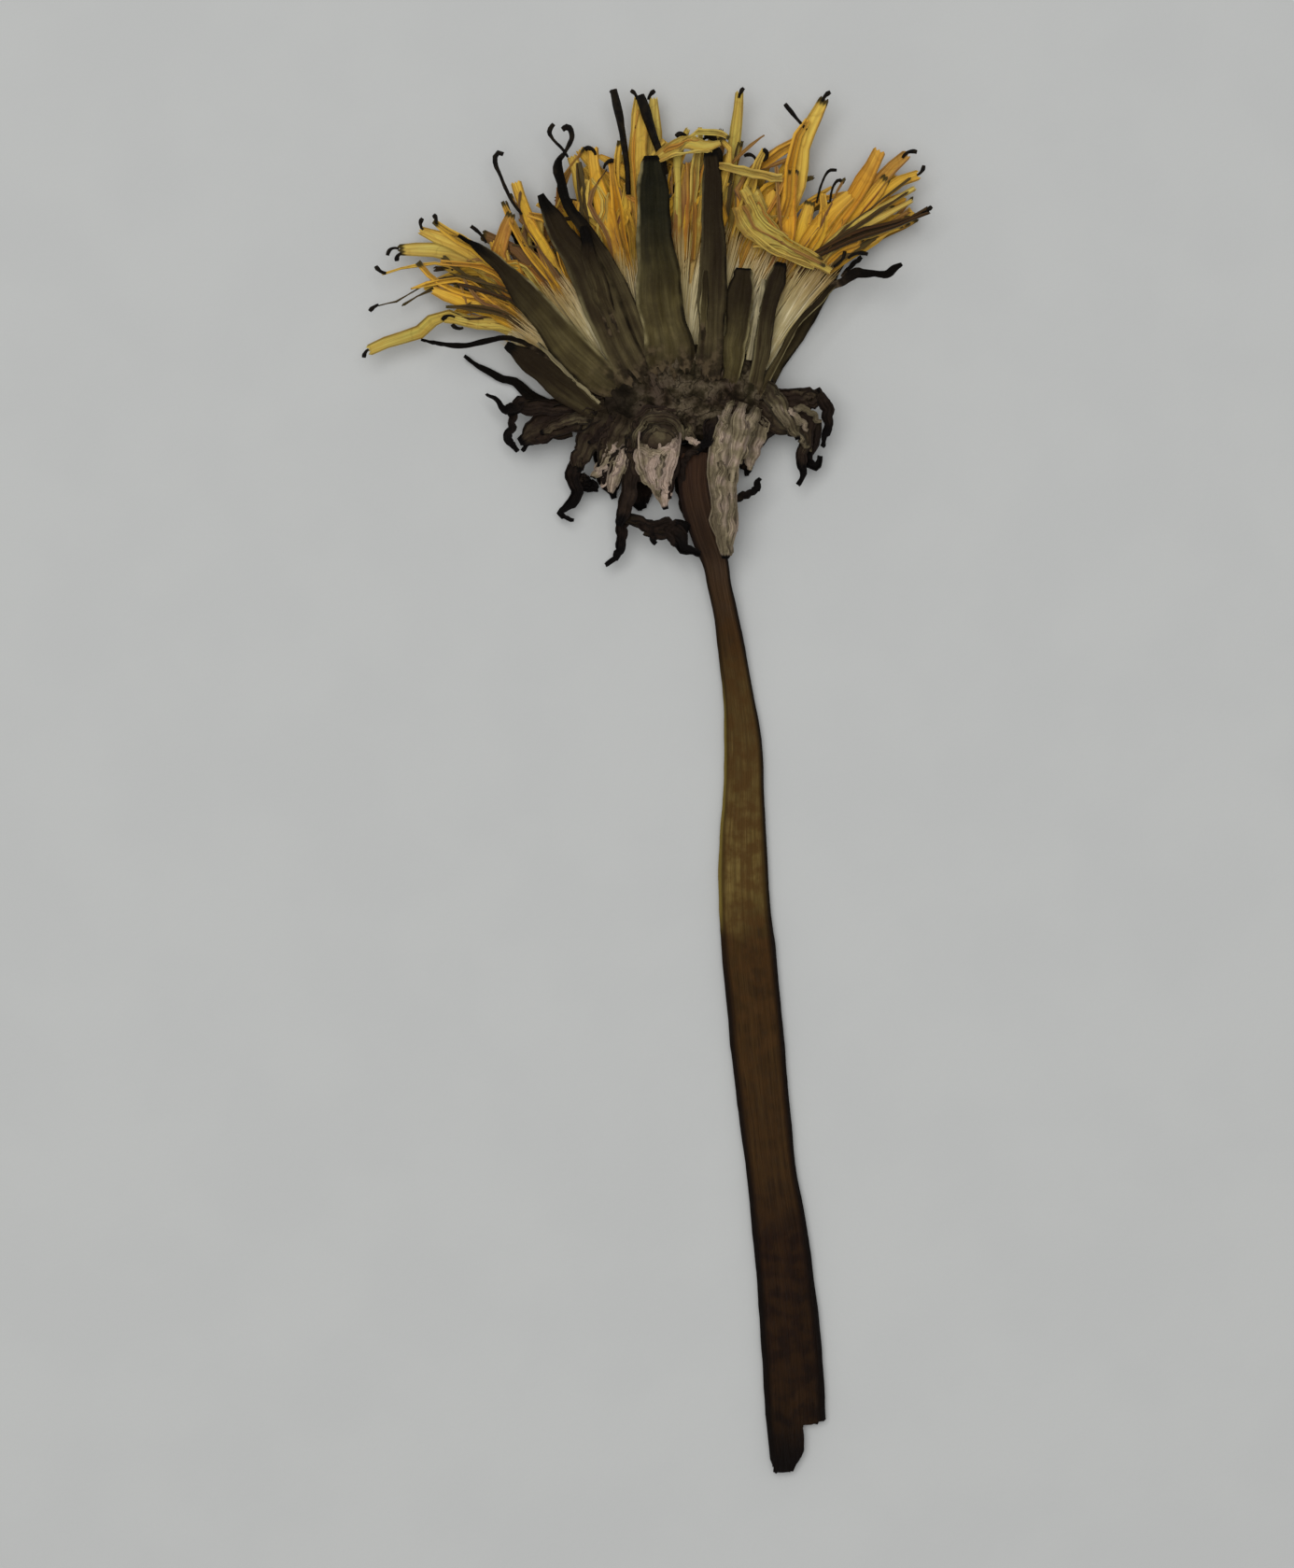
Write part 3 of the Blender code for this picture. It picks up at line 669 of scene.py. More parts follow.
# The cup under the feet of the bracts, with crumpled folds that spread over it
cup = {
    "middle": (-0.3, 4.65, 1.65), "half": (6.6, 3.5, 2.3), "rings": 64, "segments": 120,
    "top": 3.1, "topKept": 0.15,
    # the folds start round this point, at these angles, and sink as they go outwards
    "folds": 30, "foldsFrom": (-0.7, 2.7), "firstAngle": 195, "turn": 210, "reach": (3.2, 2.6),
    "near": (0.1, 0.9), "far": (1.1, 1.7), "foldHeight": 3.42, "foldDrop": 0.12, "foldTilt": 30,
    "foldWidth": (0.4, 0.9), "foldWidths": (0.6, 1.0, 0.7), "foldWall": 0.12, "foldWander": 0.25,
}


def cupSkin():
    made, place = newMaterial("cupSkin")[:2]
    spots, big = placed(mottle, place, 0.8), placed(mottle, place, 2.2)
    colour = layered(ramp(spots["Patches"], {0: "1c150d", 0.5: "352a1e", 1: "54463a"}), [
        (big["Patches"], 0.45, "3a3420"),
        (times(spots["Patches"], big["Patches"], spots["Grain"]), 0.7, "8a7c64"),
        # painted shade in the creases
        (spots["CreaseShade"], 0.7, "120d08"),
        (spread(axesOf(place)[0], -2.6 * mm, -4.4 * mm), 0.8, "17120b"),  # darker towards the left
        (spots["Grain"], 0.15, "0f0b07"),
    ])
    return finishMaterial(made, colour, plus(spots["Patches"], spots["Grain"]), 0.14, 0.75)


def makeFolds():
    source = strapSource("foldSource", 20, innerBracts["section"])
    folds = []
    middle = Vector(cup["foldsFrom"])
    for k in range(cup["folds"]):
        angle = math.radians(cup["firstAngle"] - cup["turn"] * (k + rng.random()) / cup["folds"])
        away = Vector((math.cos(angle) * cup["reach"][0], math.sin(angle) * cup["reach"][1]))
        near, far = rng.uniform(*cup["near"]), rng.uniform(*cup["far"])
        points = [
            (*(middle + away * share), cup["foldHeight"] - cup["foldDrop"] * share)
            for share in (near, far / 2, far)
        ]
        wide = rng.uniform(*cup["foldWidth"])
        tilts = [rng.uniform(-cup["foldTilt"], cup["foldTilt"]) for end in range(2)]
        folds.append(laid(
            source, points, [wide * share for share in cup["foldWidths"]], tilts,
            wander=cup["foldWander"], wall=cup["foldWall"], folds=0.25, wrinkles=0.35,
        ))
    discard(source)
    return folds


def makeCup():
    bpy.ops.mesh.primitive_uv_sphere_add(
        segments=cup["segments"], ring_count=cup["rings"], radius=mm,
        location=Vector(cup["middle"]) * mm, scale=cup["half"],
    )
    bpy.ops.object.transform_apply(location=True, scale=True)
    dome = bpy.context.object
    startEdit(dome)
    pick(lambda at: at.z > cup["top"])  # pressed flat on top
    stretch(1, 1, cup["topKept"], (0, 0, cup["top"]))
    endEdit()
    crumple(dome, folds=0.55, wrinkles=0.3)
    finishPiece("cup", [dome, *makeFolds()], "involucre", cupSkin())


makeCup()

# The outer bracts, bent back: points, widths, tilts in degrees, paleness and share of black tip
outerBracts = {
    "straps": [
        # the crumpled ones at the upper left
        ([(-5.6, 3.5, 3.2), (-8, 2.9, 2.7), (-10, 2.2, 2.3), (-11.7, 1.2, 1.9)],
         [1.6, 2.3, 2.1, 0.9], (0, 20), 0.2, 0.1),
        ([(-5.8, 4, 3), (-8.5, 3.6, 2.6), (-10.6, 3.5, 2.3), (-12.4, 3.3, 2)],
         [0.8, 1.1, 0.9, 0.5], (0, 30), 0.1, 0.2),
        ([(-12.3, 3.5, 2), (-12.1, 2.3, 2), (-12.5, 1.6, 1.9), (-11.8, 0.6, 1.8)],
         [0.5, 0.55, 0.8, 0.6], (20, 60), 0, 0.9),
        ([(-10.8, 3.9, 2.1), (-11.6, 4, 2.2), (-12.5, 3.5, 2.1), (-13.2, 4.1, 1.9), (-14, 4.6, 1.7)],
         [0.5, 0.65, 0.6, 0.5, 0.35], (0, 60), 0, 1),
        ([(-6.6, 2.9, 3.3), (-8.4, 2.6, 2.9), (-10.2, 1.8, 2.5)], [0.9, 1, 0.6], (0, 40), 0.4, 0.1),
        ([(-8, 1.9, 2.6), (-9.6, 1.6, 2.3), (-10.6, 1.6, 2.1), (-11.5, 0.6, 1.9)],
         [0.7, 0.8, 0.7, 0.6], (0, 50), 0.05, 0.4),
        # the left ones, with their tails
        ([(-5.6, 3.1, 3.3), (-6.6, 1.6, 2.9), (-7.4, 0.2, 2.3), (-7.7, -0.6, 1.9)],
         [1.8, 2, 1.3, 0.7], (0, 20), 0.3, 0.08),
        ([(-4.3, 2.9, 3.4), (-5, 1.5, 3.2), (-5.6, 0.4, 2.9), (-6, -0.5, 2.6)],
         [1.7, 1.8, 1.3, 0.7], (0, -20), 0.34, 0.08),
        ([(-4.9, 3.2, 3.4), (-5.8, 2, 3.2), (-6.9, 1.1, 2.8)], [0.5, 0.7, 0.5], (0, 40), 0.1, 0.1),
        ([(-3.6, 2.6, 3.4), (-3.8, 1.4, 3.3), (-4.2, 0.4, 3.1)], [0.9, 1, 0.7], (0, 30), 0.16, 0.1),
        ([(-7.4, 0.2, 2), (-7.7, -0.5, 1.9), (-7.9, -1.4, 1.7), (-7.6, -2.5, 1.4), (-8.8, -3.4, 1.1),
          (-8.5, -4, 1), (-7.9, -4.1, 1)], [0.8, 0.75, 0.7, 0.6, 0.5, 0.45, 0.4], (0, 40), 0, 1),
        ([(-7.5, -1.2, 1.6), (-7.1, -1.7, 1.6), (-6.2, -2, 1.5)], [0.7, 0.7, 0.5], (0, 30), 0, 1),
        ([(-4.9, 1.3, 3.1), (-5.6, 0.1, 2.9), (-6.6, -1.3, 2.4)], [0.6, 0.9, 0.35], (0, 30), 0.85, 0.05),
        ([(-4.3, 0.9, 3.1), (-4.8, -0.7, 2.9), (-5.4, -2.4, 2.4)], [0.8, 1.1, 0.35], (0, -20), 0.8, 0.05),
        ([(-4.6, 0.4, 3.1), (-5, -0.6, 2.9), (-6, -1.9, 2.4)], [0.35, 0.5, 0.25], (0, 30), 1, 0),
        ([(-3.6, 1.2, 3.1), (-3.8, -0.8, 2.9), (-4.2, -2.8, 2.5), (-4.7, -4.6, 2)],
         [1, 1.2, 1.1, 0.8], (0, 30), 0.12, 0.2),
        ([(-4.8, 0.6, 3.2), (-5.5, -0.7, 2.9), (-5.9, -1.7, 2.5)], [0.25, 0.3, 0.25], (0, 0), 0, 0),
        ([(-4.5, -4, 2), (-4.5, -5.4, 1.7), (-4.9, -6.7, 1.4), (-5.7, -7.3, 1.2)],
         [0.8, 0.65, 0.55, 0.45], (0, 50), 0, 1),
        ([(-4.3, -4.1, 2.2), (-3.2, -4.6, 2.3), (-2.3, -4.85, 2.4), (-1.4, -4.9, 2.6), (-0.7, -5.3, 2.7),
          (-0.2, -6.1, 2.7), (0.9, -6.6, 2.7)], [0.5, 0.7, 0.8, 1, 1.1, 0.6, 0.4], (0, 20), 0.02, 0.5),
        ([(-3.5, -4.3, 2.4), (-2.7, -4.9, 2.5), (-2.2, -5.9, 2.4)], [0.4, 0.5, 0.3], (0, 40), 0, 0.6),
        ([(-1.9, -5.3, 2.5), (-0.8, -4.6, 2.7), (0.1, -4.9, 2.7)], [0.4, 0.6, 0.3], (0, -30), 0, 0.6),
        ([(-3.9, -4.1, 2.4), (-2.6, -4.4, 2.5), (-1.5, -4.3, 2.7), (-0.7, -4.6, 2.8)],
         [0.3, 0.4, 0.3, 0.35], (0, 20), 0.02, 0.1),
        ([(-3, -5.1, 2.4), (-2.2, -5.5, 2.5), (-1.5, -5.3, 2.7), (-0.7, -6, 2.8)],
         [0.3, 0.4, 0.3, 0.3], (0, 20), 0, 0.1),
        # the pale folds under the knob and the broad pale one beside the scape
        ([(-1.9, 1.8, 3.2), (-2, 0.2, 3.3), (-1.9, -1.4, 3.1), (-1.5, -3.5, 2.7)],
         [3.1, 3, 1.9, 0.5], (0, 5), 0.96, 0.06),
        ([(-3.1, 1.2, 3.3), (-3.2, -0.1, 3.3), (-2.7, -1.4, 3.15), (-2.2, -2.5, 2.9)],
         [0.9, 1.2, 1, 0.3], (0, 25), 0.88, 0.03),
        # these two palest narrow strips are painted highlights on the fold
        ([(-2.4, 0.5, 3.5), (-2.5, -0.6, 3.45), (-2.1, -2.2, 3.2)], [0.5, 0.7, 0.3], (0, 20), 1, 0),
        ([(-1, 1, 3.4), (-1.3, -0.6, 3.4), (-1.5, -2.4, 3.15)], [0.8, 0.8, 0.4], (0, -25), 1, 0),
        ([(-1.7, 0.2, 3.5), (-2, -1.1, 3.4), (-1.9, -2.6, 3.1)], [0.3, 0.46, 0.3], (0, 0), 0.74, 0),
        # these two dark narrow strips at the fold's sides are painted shade in its creases
        ([(-3.9, 0.9, 3.2), (-3.8, -0.4, 3.1), (-3.3, -1.6, 2.9)], [0.4, 0.5, 0.3], (0, 0), 0.2, 0),
        ([(-0.6, 0.9, 3.35), (-0.75, -0.8, 3.25), (-1.2, -2.8, 3)], [0.3, 0.3, 0.25], (0, 0), 0.1, 0),
        # wrinkles round the knob
        ([(-3.7, 0.7, 3.35), (-3.3, 2.1, 3.45), (-2.2, 2.75, 3.5), (-0.9, 2.5, 3.45), (-0.2, 1.3, 3.35)],
         [0.5, 0.7, 0.8, 0.8, 0.5], (0, 20), 0.5, 0),
        ([(-3, 1, 3.55), (-2.5, 1.9, 3.6), (-1.6, 2, 3.6), (-0.9, 1.4, 3.55)],
         [0.3, 0.4, 0.4, 0.3], (0, 30), 0.42, 0),
        ([(-3.3, 0.6, 3.5), (-2.3, 0.3, 3.55), (-1, 0.8, 3.5)], [0.3, 0.6, 0.3], (0, 20), 0.95, 0),
        ([(-4.1, 1.4, 3.3), (-3.8, 2.6, 3.35), (-2.6, 3.3, 3.4), (-0.8, 3.3, 3.4)],
         [0.4, 0.6, 0.6, 0.4], (0, 20), 0.25, 0),
        ([(3.4, 3, 3.3), (3.1, 2, 3.5), (2.8, 0.8, 3.5), (2.5, -0.8, 3.4), (2.5, -3.6, 3.2), (2.6, -5.7, 3),
          (2.65, -6.9, 2.7)], [1.6, 2.3, 2.5, 2.3, 1.9, 1.5, 1], (0, 5), 0.82, 0.04),
        ([(2.4, 2.9, 3.5), (2.3, 1.6, 3.6), (2.1, 0.2, 3.55), (1.9, -1.4, 3.4)],
         [0.5, 0.7, 0.6, 0.3], (0, 20), 0.9, 0),
        ([(3.9, 3.8, 3.45), (3.6, 2.4, 3.6), (3.3, 1, 3.6), (2.9, -0.8, 3.45)],
         [0.7, 0.9, 0.7, 0.4], (0, -20), 0.8, 0),
        ([(4.9, 3.5, 3.4), (4.4, 2.6, 3.5), (4, 1.2, 3.45), (3.7, -0.4, 3.3)],
         [0.7, 0.9, 0.7, 0.4], (0, 20), 0.72, 0),
        ([(3.1, 3.9, 3.5), (2.8, 3.2, 3.6), (2.5, 2.4, 3.6)], [0.4, 0.5, 0.3], (0, 10), 0.75, 0),
        ([(3.3, -0.9, 3.4), (3.2, -2.6, 3.38), (3.05, -5, 3.18), (3, -6.7, 2.86)],
         [0.3, 0.47, 0.47, 0.35], (0, 0), 0.74, 0),
        ([(2.4, -0.2, 3.6), (2.2, -2.4, 3.45), (2.3, -4.6, 3.25)], [0.3, 0.46, 0.3], (0, 0), 0.8, 0),
        ([(5, 2.8, 2.8), (4.7, 1, 2.7), (4.3, -0.8, 2.4)], [1.3, 1.1, 0.4], (0, 10), 0.85, 0.03),
        ([(3.4, -2.7, 2.4), (4.1, -2.4, 2.3), (4.7, -2, 2.3), (5.1, -1.3, 2.3)],
         [0.3, 0.4, 0.4, 0.3], (0, 0), 0, 1),
        ([(1.8, 2.8, 3.6), (1.5, 1.9, 3.6), (1.2, 1, 3.6), (0.6, 0.3, 3.5)],
         [0.5, 0.8, 0.6, 0.3], (0, 20), 0, 0.9),
        ([(0.1, 2.4, 3.5), (0.2, 1.5, 3.6), (0.6, 0.9, 3.55)], [0.8, 0.6, 0.3], (0, 20), 0.5, 0),
        # a small pale glint: a painted highlight
        ([(0, 1.5, 3.6), (0.4, 1.2, 3.65), (0.9, 1, 3.6)], [0.15, 0.3, 0.15], (0, 0), 0.95, 0),
        ([(0.9, 0.7, 3.55), (0.2, 0.3, 3.45), (-0.3, -0.5, 3.2), (-0.4, -2, 2.8)],
         [0.5, 0.5, 0.4, 0.3], (0, 10), 0.02, 0),
        # the hooked ones at the right, with thin pale strips on them that are painted highlights
        ([(4.8, 3.6, 2.9), (6.1, 2.8, 2.7), (7.3, 1.7, 2.4)], [1.5, 1.4, 0.6], (0, 10), 0.3, 0.3),
        ([(6.4, 3.6, 2.95), (7.4, 3, 2.9), (8.4, 2, 2.6)], [0.3, 0.45, 0.25], (0, 20), 0.8, 0),
        ([(5.4, 4.8, 3.1), (6.3, 3.7, 3), (7.1, 2.4, 2.7), (7.7, 1.4, 2.4)],
         [1.3, 1.2, 0.9, 0.6], (0, 20), 0.6, 0.1),
        ([(6, 4.3, 2.8), (7.4, 4.1, 2.8), (8.4, 4.2, 2.7), (9.2, 4.7, 2.6)],
         [1, 1.6, 1.8, 0.9], (0, 30), 0.22, 0.1),
        ([(9, 4.9, 2.6), (9.6, 4, 2.5), (9.85, 2.9, 2.4), (9.7, 1.8, 2.2), (9.4, 0.9, 2.1)],
         [0.6, 0.9, 0.6, 0.5, 0.3], (0, 30), 0, 0.6),
        ([(7.4, 3.6, 2.9), (8.4, 3.3, 2.8), (9.3, 2.6, 2.5)], [0.25, 0.35, 0.2], (0, 20), 0.75, 0),
        ([(7.4, 3.6, 2.4), (8.3, 2.4, 2.3), (8.2, 1.2, 2.1), (7.9, 0.2, 1.9), (8.1, -0.7, 1.7),
          (7.7, -1.7, 1.5)], [1.2, 1.4, 0.8, 0.5, 0.5, 0.3], (0, 40), 0.2, 0.45),
        ([(8.9, 2.6, 2.2), (8.8, 0.9, 2), (8.4, 0, 1.8), (9, -0.4, 1.7), (9.3, 0.3, 1.6)],
         [0.8, 0.6, 0.4, 0.45, 0.3], (0, 30), 0, 0.8),
        ([(7.6, 2.6, 2.5), (8, 1.4, 2.3), (8.7, 0.6, 2.1)], [0.3, 0.4, 0.2], (0, 30), 0.6, 0),
        # the ones underneath
        ([(-5.4, 1.2, 0.5), (-5.4, -0.9, 0.4), (-5.1, -2.6, 0.3)], [2.3, 1.8, 0.5], (0, 10), 0.1, 0.3),
        ([(-2.8, 0, 0.5), (-3.3, -2.2, 0.4), (-3, -3.3, 0.3)], [2.4, 2, 0.6], (0, 10), 0.1, 0.3),
        ([(0, -0.6, 0.4), (0.5, -3.2, 0.3), (1, -5.4, 0.3)], [2.3, 1.8, 0.5], (0, 5), 0.1, 0.3),
        ([(2.4, 0, 0.4), (2.2, -2.6, 0.3), (2.4, -5.6, 0.3)], [2.4, 2, 0.7], (0, 5), 0.2, 0.3),
        ([(4.3, 1.6, 0.5), (4.2, 0.2, 0.4), (4.2, -1, 0.3)], [1.6, 1.2, 0.5], (0, 10), 0.1, 0.3),
    ],
    "section": mirrored([(0, 0.08), (0.14, -0.04), (0.28, 0.06), (0.42, -0.02), (0.47, 0.1)]),
    "steps": 26, "wall": 0.13, "tip": [(3.6, 0.85), (4.2, 0.8), (4.7, 0.75)],
    "broad": 2.0, "broadWander": 0.06, "wander": 0.14, "crumples": {"folds": 0.5, "wrinkles": 0.35},
    "thin": 0.45, "thinCrumples": {"wrinkles": 0.2},
    # the collar that they grow from: points and widths of a thick crescent
    "collar": [
        (-7.6, 2.5, 1.1), (-5.5, 1.2, 1.3), (-3.1, 0.3, 1.4), (0, 0, 1.45), (3.1, 0.6, 1.4),
        (5.2, 2.1, 1.3), (7.1, 3.2, 1.1),
    ],
    "collarWidths": [0.9, 1.7, 2.2, 2.4, 2.2, 1.6, 0.8],
    "collarPaleness": 0.15,
    "knob": (-2.0, 1.5, 3.0), "knobHalf": (1.5, 1.2, 0.65), "knobPaleness": 0.36, "knobRings": 28,
    "knobWrinkles": (0.96, 0.96, 0.9),
}


def outerBractSkin():
    made, place, strap, tone = newMaterial("outerBractSkin")
    lines = placed(fibres, strap, 2.5, 6, tone[2])
    rim = placed(edges, strap, 0.1, tone[1], tone[2])
    spots = placed(mottle, place, 1.2)
    shade = plus(tone[0], times(minus(spots["Patches"], 0.5), 0.25))
    skin = ramp(shade, {
        0: "1a130e", 0.2: "3a2d23", 0.4: "564b37", 0.6: "7a7053", 0.8: "b0a182", 1: "dcc3b0",
    })
    darker = spread(tone[0], 0.5, 1, 1, 0.25)  # the palest ones get fewer dark marks
    sides = times(rim["Sides"], plus(0.1, times(spots["Patches"], 0.7)), darker)
    colour = layered(skin, [
        (times(lines["Ribs"], darker), 0.55, "2a1f1a"),
        (lines["Streaks"], 0.6, blend(tone[0], "120c09", "4c3d33")),
        (spots["Grain"], 0.25, "3a2e26"),
        # painted shade in the creases
        (times(spots["CreaseShade"], darker), 0.35, "1c140f"),
        (spread(axesOf(strap)[0], 0.2, 0), spread(tone[0], 0.5, 0.9, 0.85, 0.45), "2b2318"),
        (maths("MAXIMUM", sides, rim["End"]), 1, "0d0a09"),
    ])
    height = plus(lines["Ribs"], spots["Grain"])
    return finishMaterial(made, colour, height, 0.09, spread(spots["Grain"], 0, 1, 0.5, 0.8))


def makeKnob():
    rings = outerBracts["knobRings"]
    bpy.ops.mesh.primitive_uv_sphere_add(segments=40, ring_count=rings, radius=mm)
    knob = bpy.context.object
    markStrap(knob, 4.0)
    startEdit(knob)
    pick(lambda at: round(math.acos(max(min(at.z, 1), -1)) * rings / math.pi) % 4 < 2)  # wrinkles in rings
    stretch(*outerBracts["knobWrinkles"])
    pickAll()
    stretch(*outerBracts["knobHalf"])
    move(*outerBracts["knob"])
    endEdit()
    setTone(knob, outerBracts["knobPaleness"], 0.0)
    return crumple(knob, folds=0.5, wrinkles=0.3)


def makeOuterBracts():
    source = strapSource("outerSource", outerBracts["steps"], outerBracts["section"])
    narrowEnds(source, outerBracts["tip"])
    parts = [makeKnob()]
    for points, widths, tilts, pale, black in outerBracts["straps"]:
        wide = max(widths)
        parts.append(laid(
            source, points, widths, tilts, knots=12, tone=(pale, black), wall=outerBracts["wall"],
            wander=outerBracts["broadWander" if wide > outerBracts["broad"] else "wander"],
            **outerBracts["crumples" if wide > outerBracts["thin"] else "thinCrumples"],
        ))
    ring = tubeSource("collarSource", 60, 20, 1.2)
    parts.append(laid(
        ring, outerBracts["collar"], outerBracts["collarWidths"], tone=(outerBracts["collarPaleness"], 0),
        folds=0.4, wrinkles=0.3,
    ))
    discard(source, ring)
    finishPiece("outerBracts", parts, "outer_bracts", outerBractSkin())


makeOuterBracts()

# The pappus: soft brush cores, with tufts of separate hairs over and under them
pappus = {
    "brushes": 34, "brushWidths": [0.5, 0.95, 1.05, 0.9],
    "brushEnds": [(-3.2, 0.85), (-4.2, 0.7), (2.5, 0.9), (3.6, 0.8), (4.5, 0.6)],
    "tufts": 96, "tuftWidths": [0.9, 1.3, 1.7], "variants": 4, "hairs": 38, "hairWidth": 0.05,
    "rootedBy": 0.12, "rootHeight": 1.7, "end": (0.42, 0.58), "heights": (1.15, 1.7, 2.3),
    "brushShorter": 0.07, "lean": 0.025,
}


def brushSilk():
    made, place, strap, tone = newMaterial("brushSilk", 0.3)
    lines = placed(fibres, strap, 2.5, 26, tone[2])
    pale = blend(lines["Streaks"], "a8945f", "e6d8ac")
    colour = layered(pale, [(placed(mottle, place, 1.5)["Patches"], 0.3, "a08a58")])
    return finishMaterial(made, colour, lines["Streaks"], 0.1, 0.6)


def hairSilk():
    made, place, strap, tone = newMaterial("hairSilk", 0.3)
    spots = placed(mottle, place, 1.2)
    colour = layered(ramp(tone[0], {0: "bfae7c", 0.5: "dccd9e", 1: "efe4c0"}), [
        (spread(axesOf(strap)[0], 0.55, 1), 0.7, "b48e48"),
        (spots["Patches"], 0.35, "b09a62"),
    ])
    return finishMaterial(made, colour, spots["Grain"], 0.02, 0.5)


def rootPoint(across, height):  # in the cup, behind the foot of the fan
    return fanPoint(across, 0.0, height).lerp(Vector((*innerBracts["meeting"], height)), pappus["rootedBy"])


def makeBrushes():
    source = tubeSource("coreSource", 14, 12, 0.8)
    narrowEnds(source, pappus["brushEnds"], height=True)
    brushes = []
    for k in range(pappus["brushes"]):
        across = (k + 0.5) / pappus["brushes"]
        end = rng.uniform(*pappus["end"]) - pappus["brushShorter"]
        height = pappus["rootHeight"] + rng.uniform(-0.2, 0.2)
        points = [rootPoint(across, height), fanPoint(across, end / 2, height), fanPoint(across, end, height)]
        brushes.append(laid(source, points, pappus["brushWidths"], knots=4))
    discard(source)
    finishPiece("pappusBrushes", brushes, "pappus", brushSilk())


def makeTuft(name, hair):  # its hairs start close together and lean apart
    hairs = []
    for k in range(pappus["hairs"]):
        copy = copied(hair)
        root = Vector((0, rng.uniform(-0.12, 0.12), rng.uniform(-0.1, 0.1)))
        tip = Vector((rng.uniform(-1.8, 0.0), rng.uniform(-0.5, 0.5), rng.uniform(-0.4, 0.4)))
        startEdit(copy)
        pickAll()
        move(*root)
        for limit in (-4, -1, 1, 3, 4.9):  # each hair bows towards its tip
            pick(lambda at: at.x > limit)
            move(tip.x / 5, (tip.y - root.y) / 5, (tip.z - root.z) / 5)
        endEdit()
        hairs.append(copy)
    return joined(name, hairs)


def makeHair():
    hair = tubeSource("hairSource", 4, 3)
    startEdit(hair)
    pickAll()
    stretch(1, pappus["hairWidth"], pappus["hairWidth"])
    endEdit()
    narrowEnds(hair, [(4.9, 0.2)], height=True)
    variants = [makeTuft("tuft%d" % n, hair) for n in range(pappus["variants"])]
    tufts = []
    for k in range(pappus["tufts"]):
        across = (k + rng.uniform(0.2, 0.8)) / pappus["tufts"]
        lean = rng.uniform(-pappus["lean"], pappus["lean"])
        end = rng.uniform(*pappus["end"])
        height = pappus["heights"][k % 3]
        points = [
            rootPoint(across, pappus["rootHeight"]), fanPoint(across + lean / 4, end * 0.45, height),
            fanPoint(across + lean, end, height + rng.uniform(-0.1, 0.2)),
        ]
        tufts.append(laid(
            variants[k % len(variants)], points, pappus["tuftWidths"], knots=4, tone=(rng.random(), 0.5),
            directions=("Z", "Y"), folds=0.25, wrinkles=0.12,
        ))
    discard(hair, *variants)
    finishPiece("pappusHair", tufts, "pappus", hairSilk())


makeBrushes()
makeHair()

